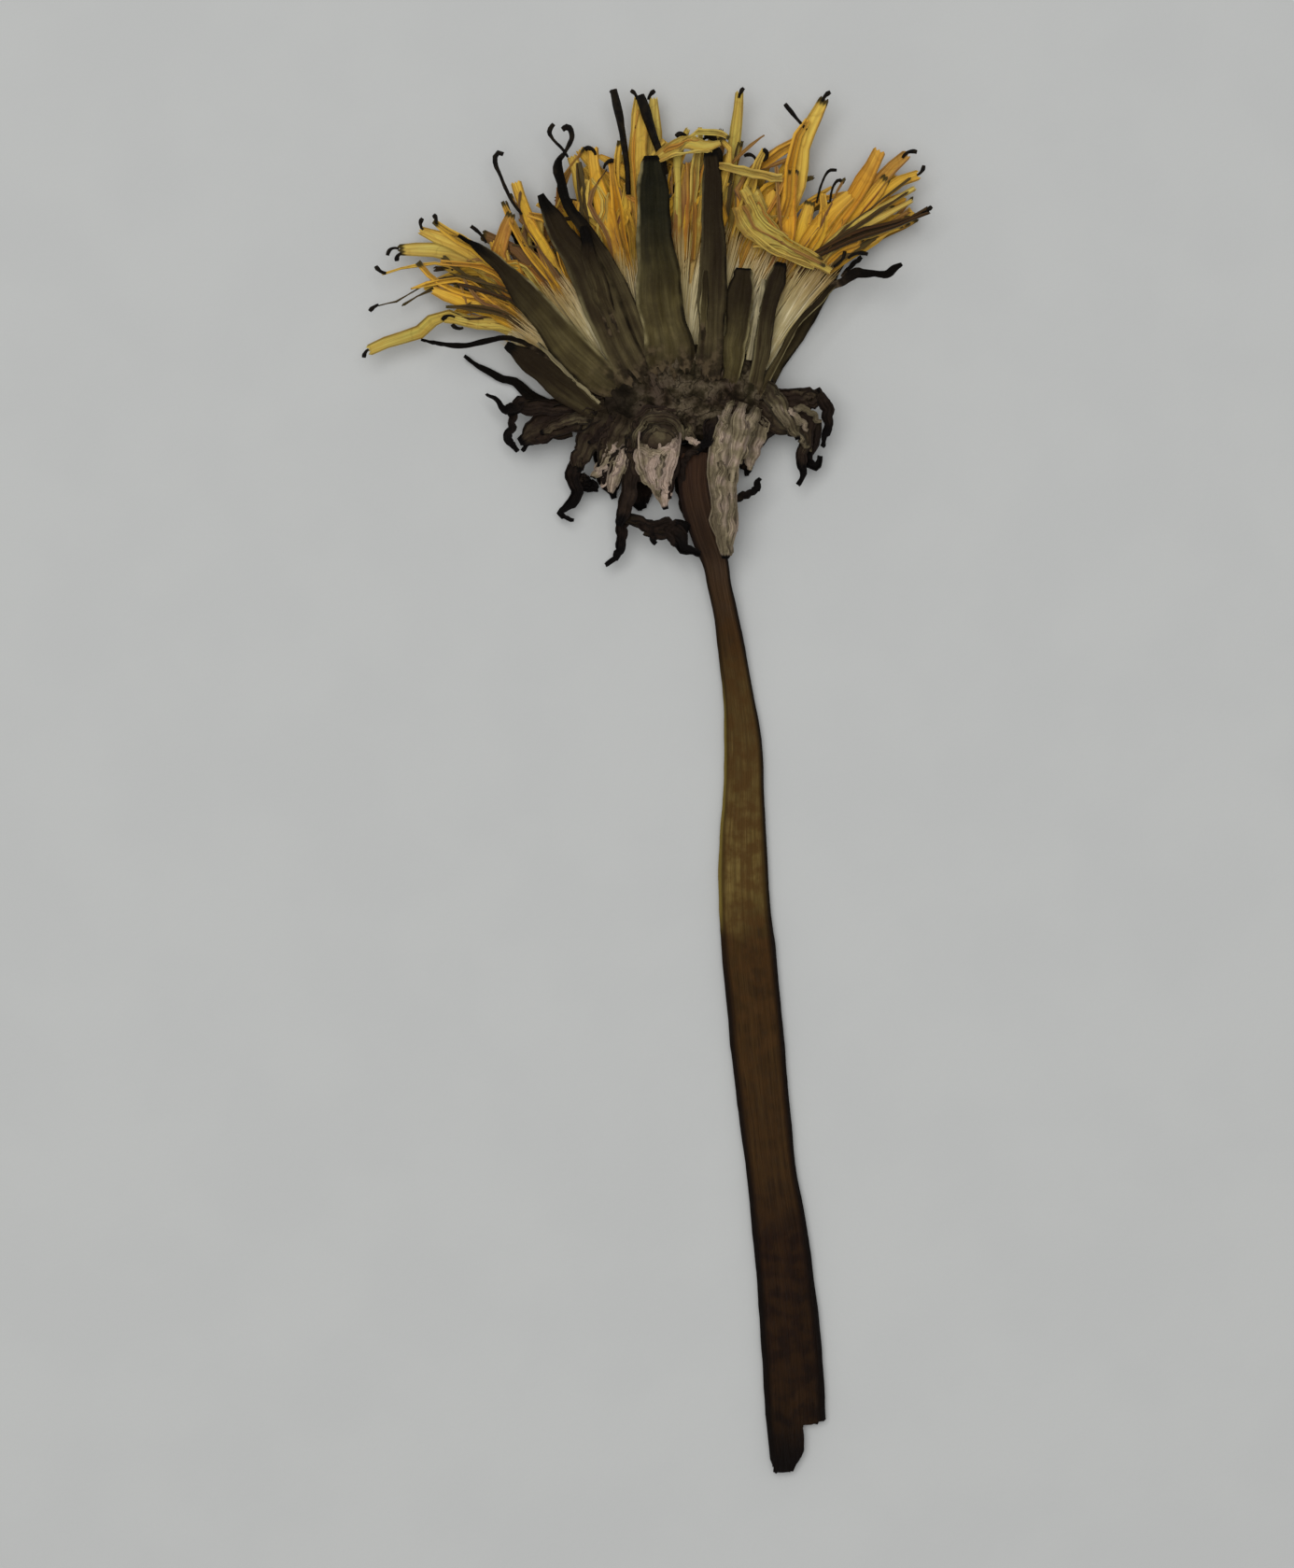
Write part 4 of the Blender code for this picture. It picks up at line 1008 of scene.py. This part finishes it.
# The florets' straps, each with the slim tube that carries it.
# Colour runs 0 yellow green, 0.2 pale yellow, 0.4 golden, 0.6 orange, 0.75 orange brown,
# 0.88 pinkish brown, 0.95 dark olive, 1 black brown; the edge is the browned share at each side
ligules = {
    "sections": {
        "open": mirrored([(0, -0.01), (0.16, 0.04), (0.36, 0), (0.47, 0.14)]),
        "halfRolled": mirrored([(0, -0.06), (0.34, 0.02), (0.34, 0.24), (0.12, 0.34)]),
        "rolled": [
            (0.06, 0.12), (-0.2, 0.16), (-0.22, -0.08), (0.02, -0.2), (0.24, -0.04), (0.2, 0.2), (-0.1, 0.3),
        ],
    },
    "steps": 13, "wall": 0.09, "count": 170, "across": (0.07, 1), "width": (0.4, 1),
    "lineWidth": (0.3, 0.45), "reach": (0.68, 1), "low": 1.05, "high": 2.25,
    "notches": [(0, 0.1, 0.78), (0.18, 0.27, 0.84), (0.32, 0.38, 0.8), (0.7, 0.84, 0.8)],  # from, to, reach
    "left": (0.1, 0.25, 0.35, 0.45, 0.52, 0.8, 0.9), "right": (0.2, 0.35, 0.42, 0.46, 0.5, 0.56),
    "leftLine": (0.88, 0.95, 1), "rightLine": (0.75, 0.88, 0.95),
    "tubeWidths": (0.3, 0.35), "tubeFrom": 0.16, "markedTubeTo": 0.36, "tubeTo": 0.4, "bladeFrom": 0.56,
    "rootHeight": 1.7, "markedWidth": 0.8, "lean": 0.05, "bow": 0.03, "leftUpTo": 0.45,
    "wander": 0.1, "crumples": {"folds": 0.4, "wrinkles": 0.28},
    # points to the tip, height, width, form, colour and edge
    "marked": [
        ([(-16.4, 10), (-19, 8.9), (-22.3, 7.6)], 1.9, 1.1, "open", 0.04, 0.12),
        ([(-14.5, 12.5), (-18.1, 12.3), (-20.1, 11.1), (-21.7, 10.7)], 2, 0.45, "rolled", 0.95, 0.1),
        ([(-16.4, 13.4), (-19.3, 13.4), (-21.3, 12.9)], 1.9, 0.4, "rolled", 0.35, 0.1),
        ([(-14.5, 13.7), (-17.6, 14.6), (-20.2, 14.6)], 1.8, 1.3, "open", 0.18, 0.05),
        ([(-14.5, 14.1), (-16.7, 15.3), (-18.7, 16)], 2, 1.2, "open", 0.28, 0.06),
        ([(-14.4, 14.3), (-16.3, 15.6), (-17.7, 16.6)], 2.1, 1, "halfRolled", 0.4, 0.06),
        ([(-12.5, 9.9), (-15.6, 11), (-17.8, 11.8)], 2.1, 1.2, "open", 0.45, 0.08),
        ([(-12.2, 9.2), (-14.8, 9.6), (-17, 9.8)], 1.9, 1.1, "open", 0.12, 0.1),
        ([(-11, 11), (-13.2, 12), (-16.6, 13)], 2.3, 0.4, "rolled", 0.95, 0.1),
        ([(-11.5, 10.6), (-13.6, 11.6), (-16, 12.2)], 2.5, 0.6, "rolled", 1, 0.1),
        ([(-12, 9.6), (-14.2, 10.4), (-16.8, 10.6)], 2.5, 0.6, "halfRolled", 0.96, 0.1),
        ([(-12.9, 10.3), (-14.4, 11), (-15.6, 12.6)], 2.4, 0.5, "rolled", 0.9, 0.1),
        ([(-12.6, 12.4), (-14.6, 13.4), (-17.2, 13.7)], 2.3, 0.5, "halfRolled", 0.66, 0.1),
        ([(-9.9, 10.7), (-12, 12.6), (-13.5, 15.3)], 2, 1.1, "open", 0.42, 0.08),
        ([(-10.6, 13.9), (-12, 16.2), (-12.9, 18)], 1.9, 0.8, "halfRolled", 0.5, 0.1),
        # broad pale ones behind the others
        ([(-3.9, 15), (-4.2, 18.5), (-4.2, 21.4)], 1.25, 1.9, "open", 0.25, 0.03),
        ([(-5.6, 15), (-6.7, 18.4), (-7.5, 20.4)], 1.2, 2.2, "open", 0.35, 0.03),
        ([(-2.6, 19), (-2.2, 22.5), (-2.3, 25.3)], 1.8, 1.1, "open", 0.16, 0.03),
        ([(3.3, 14.5), (3.5, 17.4), (3.9, 20.2)], 1.3, 2, "open", 0.16, 0.03),
        ([(5.8, 14.8), (6.2, 17.6), (6.3, 20)], 1.3, 2, "open", 0.5, 0.03),
        ([(9.4, 15.4), (11.2, 17.6), (12.6, 19.6)], 1.3, 2, "open", 0.5, 0.03),
        ([(-13, 11), (-15.2, 13), (-17, 14)], 1.2, 1.8, "open", 0.3, 0.03),
        ([(-9.7, 14.3), (-10.9, 16.4), (-12, 19.4)], 2.1, 1, "open", 0.4, 0.08),
        ([(-10.2, 14.6), (-11.6, 16.8), (-11.6, 18.7)], 2.3, 0.45, "rolled", 0.92, 0.1),
        ([(-6.1, 15.1), (-7.2, 18.7), (-8.1, 21.2)], 1.9, 1.3, "open", 0.3, 0.05),
        ([(-4.9, 14.6), (-6.1, 18.4), (-6.6, 21.8)], 2.1, 1.4, "open", 0.48, 0.06),
        ([(-4.4, 15.1), (-4.9, 18.2), (-5.3, 20.9)], 2.2, 1.1, "halfRolled", 0.6, 0.08),
        ([(-5.6, 15.6), (-6.8, 18), (-5.6, 20.2)], 2.4, 0.35, "rolled", 0.9, 0.1),
        ([(-3.4, 18.6), (-3.5, 22.4), (-3.3, 25.4)], 2, 1.5, "open", 0.3, 0.1),
        ([(-3.6, 18.6), (-3.8, 21.4), (-3.4, 24.4)], 2.2, 0.4, "rolled", 0.68, 0.1),
        ([(-0.6, 13.9), (-0.3, 17.3), (-0.5, 20.6)], 2.1, 1.5, "open", 0.88, 0.08),
        ([(0.1, 14.2), (0.3, 17.6), (0.2, 20.7)], 2.2, 1, "halfRolled", 0.8, 0.1),
        ([(2.9, 20), (3.4, 23.2), (3.7, 25.7)], 2, 0.9, "open", 0.04, 0.08),
        ([(4, 18), (4.7, 20.2), (5.4, 21.6)], 2.1, 1, "halfRolled", 0.3, 0.1),
        ([(7.2, 17.6), (7.9, 20.8), (8.4, 22.9), (9.6, 25.2)], 2.3, 1.3, "open", 0.3, 0.04),
        ([(6.9, 17.8), (7.2, 20.2), (7.5, 22), (8.4, 23.6)], 2.5, 1, "halfRolled", 0.56, 0.06),
        ([(-0.6, 20.6), (-0.5, 22), (0.1, 23)], 2.5, 0.7, "open", 0.06, 0.1),
        ([(0.6, 20.4), (1, 21.9), (0.9, 23.1)], 2.4, 0.7, "halfRolled", 0.2, 0.1),
        ([(1.6, 20), (1.9, 21.6), (2.4, 23)], 2.5, 0.7, "open", 0.1, 0.1),
        ([(2.6, 19.8), (3, 21.4), (2.2, 22.4)], 2.6, 0.6, "open", 0.3, 0.1),
        ([(6.8, 14.5), (7.1, 17.3), (7.3, 20.2)], 2.5, 1.5, "open", 0.58, 0.06),
        ([(4.6, 14.5), (5.2, 16.7), (4.4, 18.9)], 2.4, 1.5, "open", 0.15, 0.05),
        ([(8.5, 15.1), (9.6, 16.8), (11.4, 18.4)], 2.5, 1.5, "open", 0.5, 0.05),
        ([(10.2, 16.2), (11.9, 18.7), (13.4, 21.6)], 2.3, 1.6, "open", 0.64, 0.05),
        ([(11.3, 16.8), (13.6, 19.6), (15.4, 21.3)], 2.1, 1.2, "open", 0.8, 0.06),
        ([(11.3, 16.3), (14.1, 18.9), (16.2, 19.9)], 2, 1.2, "open", 0.45, 0.06),
        ([(9.6, 14.9), (12.4, 16.5), (15.4, 18.6)], 2.65, 0.6, "rolled", 0.97, 0.1),
        ([(9, 14.3), (12.6, 15.7), (16.8, 17.3)], 2.65, 0.85, "halfRolled", 1, 0.1),
        ([(9.8, 14.7), (12.9, 16.6), (15.7, 18)], 2.6, 0.5, "open", 0.2, 0.1),
        ([(10.4, 15.6), (13, 17.6), (15.6, 19.6)], 2.6, 0.4, "rolled", 0.95, 0.1),
        ([(10.2, 15.4), (12.9, 17.2), (15.9, 18.9)], 2.5, 0.6, "open", 0.16, 0.1),
        ([(10.2, 14.7), (13, 15.8), (15.8, 16.9)], 2.4, 0.6, "open", 0.2, 0.1),
        ([(8, 14.6), (9.4, 16.6), (11, 19.6)], 2.6, 0.4, "rolled", 0.9, 0.1),
        ([(6.4, 14.8), (6.4, 17.6), (6.2, 20.4)], 2.7, 0.4, "rolled", 0.88, 0.1),
        ([(4.2, 14.2), (5.4, 16.4), (6, 18.8)], 2.2, 1.5, "open", 0.44, 0.05),
        ([(7.2, 13.8), (8, 16), (8.6, 18)], 2.2, 1.5, "open", 0.4, 0.05),
        ([(8.2, 14.2), (9.4, 16.4), (9.4, 18.5)], 2.35, 1.4, "halfRolled", 0.48, 0.05),
        ([(8.4, 13.8), (10.2, 15.8), (10.6, 18)], 2.25, 1.4, "open", 0.35, 0.05),
        ([(9, 14), (11.4, 15.7), (13.2, 17.2)], 2.2, 1.3, "open", 0.5, 0.05),
        ([(4.4, 15.2), (5.6, 17.2), (6.8, 19.6)], 2.65, 0.5, "rolled", 0.75, 0.1),
    ],
    "upper": [  # the folded ones that lie on top: points, widths, form, colour and edge
        ([(-2.3, 20.7, 3.2), (-1.2, 21.4, 3.5), (0.2, 21.9, 3.5), (1.2, 21.7, 3.4), (2.3, 21.9, 3.2)],
         [0.5, 0.9, 1, 0.9, 0.5], "open", 0.04, 0.08),
        ([(-1.9, 20.6, 3.4), (-0.8, 21, 3.6), (0.6, 21.3, 3.6), (2, 21.2, 3.3)],
         [0.3, 0.45, 0.45, 0.25], "rolled", 0.16, 0.1),
        ([(-1.6, 21.2, 3.5), (-0.4, 21.8, 3.6), (0.8, 22.1, 3.6)], [0.2, 0.3, 0.2], "rolled", 0.8, 0.1),
        ([(-0.6, 21.4, 3.5), (0.3, 22.4, 3.5), (1.6, 22.6, 3.4), (2.9, 22.2, 3.2)],
         [0.4, 0.6, 0.7, 0.4], "halfRolled", 0.12, 0.1),
        ([(2.2, 20.3, 3.2), (4.3, 19.8, 3.2), (6.6, 19.5, 3)], [0.5, 0.7, 0.5], "halfRolled", 0.2, 0.08),
        ([(3.9, 17.6, 2.9), (4.7, 16, 3.2), (7, 14.5, 3.3), (10, 13, 3)],
         [1.8, 1.9, 1.1, 0.4], "open", 0.05, 0.08),
        ([(4.3, 18.2, 3.1), (5.2, 16.4, 3.45), (7.2, 15.1, 3.5), (9.4, 13.8, 3.3)],
         [0.3, 0.5, 0.4, 0.2], "rolled", 0, 0.1),
        ([(3.5, 17.2, 3.1), (4.5, 15.4, 3.4), (6.4, 14.2, 3.5), (8.8, 13.2, 3.3)],
         [0.4, 0.6, 0.5, 0.2], "halfRolled", 0.14, 0.1),
        ([(3.9, 17.5, 3.2), (4.9, 15.8, 3.5), (7.1, 14.6, 3.55), (9.6, 13.3, 3.4)],
         [0.15, 0.25, 0.22, 0.12], "rolled", 0.88, 0.1),
        ([(4.9, 17.8, 3.1), (5.7, 16.4, 3.4), (7, 15.4, 3.5)], [0.15, 0.22, 0.15], "rolled", 0.8, 0.1),
        ([(4.6, 14.9, 3.1), (6.4, 14.6, 3.3), (8.6, 13.6, 3.1)], [0.6, 0.6, 0.3], "halfRolled", 0.1, 0.1),
        ([(3.9, 18.8, 2.8), (4.9, 17.2, 3), (6.4, 15.4, 3.1)], [0.5, 0.8, 0.6], "open", 0.14, 0.08),
    ],
}


def liguleSkin():
    made, place, strap, tone = newMaterial("liguleSkin", 0.1)
    lines = placed(fibres, strap, 3, 5, tone[2])
    fine = placed(fibres, strap, 5, 13, tone[2])
    darkTip = times(maths("GREATER_THAN", tone[2], 0.6), 0.035)  # only some have one
    rim = placed(edges, strap, tone[1], darkTip, tone[2])
    spots = placed(mottle, place, 1.4)
    along = axesOf(strap)[0]
    yellow = ramp(tone[0], {
        0: "b8b45c", 0.2: "d6c468", 0.4: "e6b634", 0.6: "e29c1e", 0.75: "b46c26",
        0.88: "7c5238", 0.95: "443a20", 1: "20160f",
    })
    # the florets' browner throat, together with painted shade where they crowd near their base
    throatAndShade = times(spread(along, 0.72, 0.42), spread(along, 0.28, 0.4))
    # painted shade: the lower straps, which lie under the others, are darkened except near their tips
    sunk = times(spread(axesOf(place)[2], 2.2 * mm, 1 * mm), spread(along, 1, 0.75))
    colour = layered(blend(spread(along, 0.26, 0.42), "c4b078", yellow), [
        (spread(along, 0.75, 1), 0.18, "e2cf82"),
        (throatAndShade, spread(spots["Patches"], 0, 1, 0.25, 0.8), "7c5226"),
        (lines["Streaks"], 0.5, "9c5f1c"),
        (lines["Ribs"], 0.2, "5e3a14"),
        # painted highlights: bright fine streaks
        (fine["Streaks"], 0.32, "fcd452"),
        # painted shade in the creases
        (spots["CreaseShade"], 0.2, "6e4a1a"),
        (spots["Patches"], 0.2, "b07a2c"),
        # painted shade on the lower straps
        (sunk, 0.8, "4a300e"),
        (spread(tone[0], 0.84, 0.94), 0.92, yellow),  # the darkest straps keep their own colour
        (rim["Sides"], 0.4, "5a3614"),
        (rim["End"], 1, "463a18"),
    ])
    height = plus(lines["Ribs"], times(spots["Grain"], 0.5))
    return finishMaterial(made, colour, height, 0.05, spread(spots["Grain"], 0, 1, 0.4, 0.65))


def acrossFor(x, y):  # the line of the fan that passes nearest to this place
    def distance(across):
        return min((fanPoint(across, out).xy - Vector((x, y))).length for out in (0.5, 0.6, 0.7, 0.8))
    return min([k / 60 for k in range(61)], key=distance)


def floretSource(form):
    source = strapSource(form, ligules["steps"], ligules["sections"][form])
    startEdit(source)
    pick(lambda at: at.x > 4.9 and abs(at.y) % 0.32 < 0.1)  # the toothed tip
    move(0.12, 0, 0)
    endEdit()
    return source


def makeLigules():
    sources = {form: floretSource(form) for form in ligules["sections"]}
    tube, tubeFrom, rootHeight = ligules["tubeWidths"], ligules["tubeFrom"], ligules["rootHeight"]
    tubeTo, bladeFrom = ligules["tubeTo"], ligules["bladeFrom"]
    parts = []

    def add(points, widths, form, colour, edge, tilts=(0, 0)):
        parts.append(laid(
            sources[form], points, widths, tilts, tone=(colour, edge), wander=ligules["wander"],
            wall=ligules["wall"], **ligules["crumples"],
        ))

    first, last = ligules["across"]
    for n in range(ligules["count"]):
        across = first + (last - first) * (n + rng.uniform(0.2, 0.8)) / ligules["count"]
        side = "left" if across < ligules["leftUpTo"] else "right"
        lean, bow = [rng.uniform(-ligules[key], ligules[key]) for key in ("lean", "bow")]
        reach = rng.uniform(*ligules["reach"])
        for start, end, limit in ligules["notches"]:
            if start < across < end:
                reach *= limit
        wide = rng.uniform(*ligules["width"])
        form = rng.choice(["open", "open", "halfRolled"])
        colour = rng.choice(ligules[side]) + rng.uniform(-0.05, 0.05)
        if n % 3 == 0:  # thin dark rolled florets between the yellow ones, partly painted shade between them
            wide, form = rng.uniform(*ligules["lineWidth"]), "rolled"
            colour = rng.choice(ligules[side + "Line"])
        height = rng.uniform(ligules["low"], ligules["high"])
        points = [
            fanPoint(across, tubeFrom, rootHeight), fanPoint(across, tubeTo, (rootHeight + height) / 2),
            fanPoint(across, bladeFrom, height), fanPoint(across + bow, (bladeFrom + reach) / 2, height),
            fanPoint(min(across + lean, 1.0), reach, height + rng.uniform(-0.2, 0.2)),
        ]
        add(points, [*tube, 0.8 * wide, wide, 0.75 * wide], form, colour, rng.uniform(0.0, 0.07),
            (0, 0, 0, rng.uniform(-40, 40), rng.uniform(-80, 80)))
    for flat, height, wide, form, colour, edge in ligules["marked"]:
        across = acrossFor(*flat[0])
        points = [
            fanPoint(across, tubeFrom, rootHeight),
            fanPoint(across, ligules["markedTubeTo"], (rootHeight + height) / 2),
            *[Vector((x, y, height)) for x, y in flat],
        ]
        wide *= ligules["markedWidth"]
        add(points, [*tube, *[wide] * (len(flat) - 1), 0.7 * wide], form, colour, edge)
    for points, widths, form, colour, edge in ligules["upper"]:
        add(points, widths, form, colour, edge)
        for mark in parts[-1].data.attributes["strap"].data:  # only the blade shows, not its pale foot
            mark.vector = (0.5 + 0.5 * mark.vector[0], mark.vector[1], mark.vector[2])
    discard(*sources.values())
    finishPiece("floretStraps", parts, "ligules", liguleSkin())


makeLigules()

# Dark styles and curled tips of anthers
styles = {
    "places": [  # place, direction in degrees, length and turn of the curl
        (-22.2, 7.7, 215, 0.7, 60), (-21.5, 10.8, 200, 0.8, 40), (-21, 13, 170, 0.9, -60),
        (-20.1, 14.7, 160, 1.1, 120), (-19.9, 14.4, 200, 0.7, 90), (-18.4, 16, 130, 0.9, -90),
        (-17.5, 16.4, 80, 0.7, 60), (-14, 15.1, 120, 1.6, 30), (-16.2, 9.9, 150, 1, 100),
        (-15.6, 9.2, 200, 0.9, -90), (-6.4, 21.2, 100, 1, 120), (-5.8, 20.2, 80, 1, -100),
        (-5, 25, 100, 0.8, 40), (-3.5, 25.1, 100, 0.8, 60), (-2.7, 25.1, 80, 0.8, -60),
        (0, 22.1, 90, 1.2, 160), (1, 21.9, 80, 1.3, -160), (2, 22, 90, 1.2, 160), (3.6, 25.2, 80, 0.8, -40),
        (4.8, 20.6, 80, 1.4, 150), (5.3, 20.8, 40, 1, 120), (9.4, 24.9, 70, 0.9, -50), (15, 21, 60, 1.2, -90),
        (16, 19.8, 30, 0.9, 60), (16.3, 17.2, 10, 0.8, 40), (10.2, 13.4, 30, 1.4, 60),
        (11.2, 14, 40, 1.5, -70),
    ],
    "paths": [  # the long ones: points and width
        ([(-11.5, 17), (-12.3, 18.1), (-12.9, 19.5), (-13.4, 20.7), (-13.2, 21.3), (-12.8, 21.2)], 0.26),
        ([(-7.8, 16.6), (-8.4, 18), (-9, 19.4), (-9.15, 20.4), (-8.6, 21.2)], 0.28),
        ([(-8.3, 21), (-8.7, 21.6), (-9.3, 22.2), (-9.6, 22.8), (-9.3, 23.3)], 0.22),
        ([(-8.6, 21.2), (-8.2, 21.9), (-8, 22.5), (-8.3, 23.1), (-8.7, 22.9)], 0.32),
        ([(-4.1, 18.4), (-4.2, 20.4), (-4.5, 22.6), (-4.8, 24.2), (-5.15, 25.7)], 0.42),
        ([(-1.5, 19.8), (-1.8, 21), (-2.4, 22.6), (-2.9, 24.2), (-3.3, 25.3)], 0.5),
        ([(8.3, 22.9), (7.6, 23.7), (6.8, 24.7)], 0.22),
        ([(2, 19.6), (2.2, 20.8), (1.9, 21.6)], 0.5),
        ([(9, 17.8), (9.3, 19), (9.8, 20), (10.4, 20.1)], 0.16),
        ([(9.9, 17.6), (10.1, 18.8), (10.5, 19.4), (10.9, 19.2)], 0.16),
    ],
    "width": 0.22, "widths": (0.8, 1.0, 1.1, 1.5, 1.2), "height": 2.6, "above": 0.12, "bends": 6,
}


def styleSkin():
    made, place = newMaterial("styleSkin")[:2]
    spots = placed(mottle, place, 0.5)
    colour = blend(spots["Patches"], "0d0a08", "1e180f")
    return finishMaterial(made, colour, spots["Grain"], 0.04, 0.55)


def makeStyles():
    source = tubeSource("styleSource", 14, 6)
    parts = []

    def add(points, wide):
        parts.append(laid(source, points, [wide * share for share in styles["widths"]], wrinkles=0.1))

    for x, y, direction, length, turn in styles["places"]:
        carrier = min(ligules["marked"], key=lambda one: (Vector(one[0][-1]) - Vector((x, y))).length)
        points, angle = [Vector((x, y, carrier[1] + styles["above"]))], math.radians(direction)
        for k in range(styles["bends"]):
            away = Vector((math.cos(angle), math.sin(angle), 0))
            points.append(points[-1] + away * length / styles["bends"])
            angle += math.radians(turn) / styles["bends"]
        add(points, styles["width"])
    for flat, wide in styles["paths"]:
        add([(x, y, styles["height"]) for x, y in flat], wide)
    discard(source)
    finishPiece("styles", parts, "ligules", styleSkin())


makeStyles()
discard(path)

# Pale floor, soft light and a camera that looks straight down
staging = {
    "floor": "c7c8c6", "floorPatches": "bfc0bf", "floorSize": 3.0, "floorAt": -0.02,
    "middle": (-2.8, -22.6), "height": 110.0, "lens": 100.0, "sensor": 36.0,
    "key": 4.3, "keySize": 0.75, "keyFrom": (-0.12, 0.1, 0.8), "room": "eaebec", "fill": 0.42,
}


def makeStage():
    bpy.ops.mesh.primitive_plane_add(size=staging["floorSize"], location=(0, 0, staging["floorAt"] * mm))
    floor = bpy.context.object
    floor.name = "floor"
    paper, place = newMaterial("paper", shine=0.5)[:2]
    spots = placed(mottle, place, 9)
    colour = layered(staging["floor"], [(spots["Patches"], 0.25, staging["floorPatches"])])
    floor.data.materials.append(finishMaterial(paper, colour, spots["Grain"], 0.02, 0.85))

    x, y = [v * mm for v in staging["middle"]]
    distance = staging["height"] * mm * staging["lens"] / staging["sensor"]
    bpy.ops.object.camera_add(location=(x, y, distance), rotation=(0, 0, 0))
    camera = bpy.context.object
    camera.data.lens = staging["lens"]
    camera.data.clip_start = 0.01
    bpy.context.scene.camera = camera

    bpy.ops.object.light_add(type="AREA", location=staging["keyFrom"])
    key = bpy.context.object
    key.data.size = staging["keySize"]
    key.data.energy = staging["key"]
    key.rotation_euler = (Vector((x, y, 0)) - key.location).to_track_quat("-Z", "Y").to_euler()
    world = bpy.data.worlds.new("softRoom")
    bpy.context.scene.world = world
    world.use_nodes = True
    background = world.node_tree.nodes["Background"]
    background.inputs["Color"].default_value = paint(staging["room"])
    background.inputs["Strength"].default_value = staging["fill"]
    bpy.context.scene.view_settings.view_transform = "Standard"


makeStage()
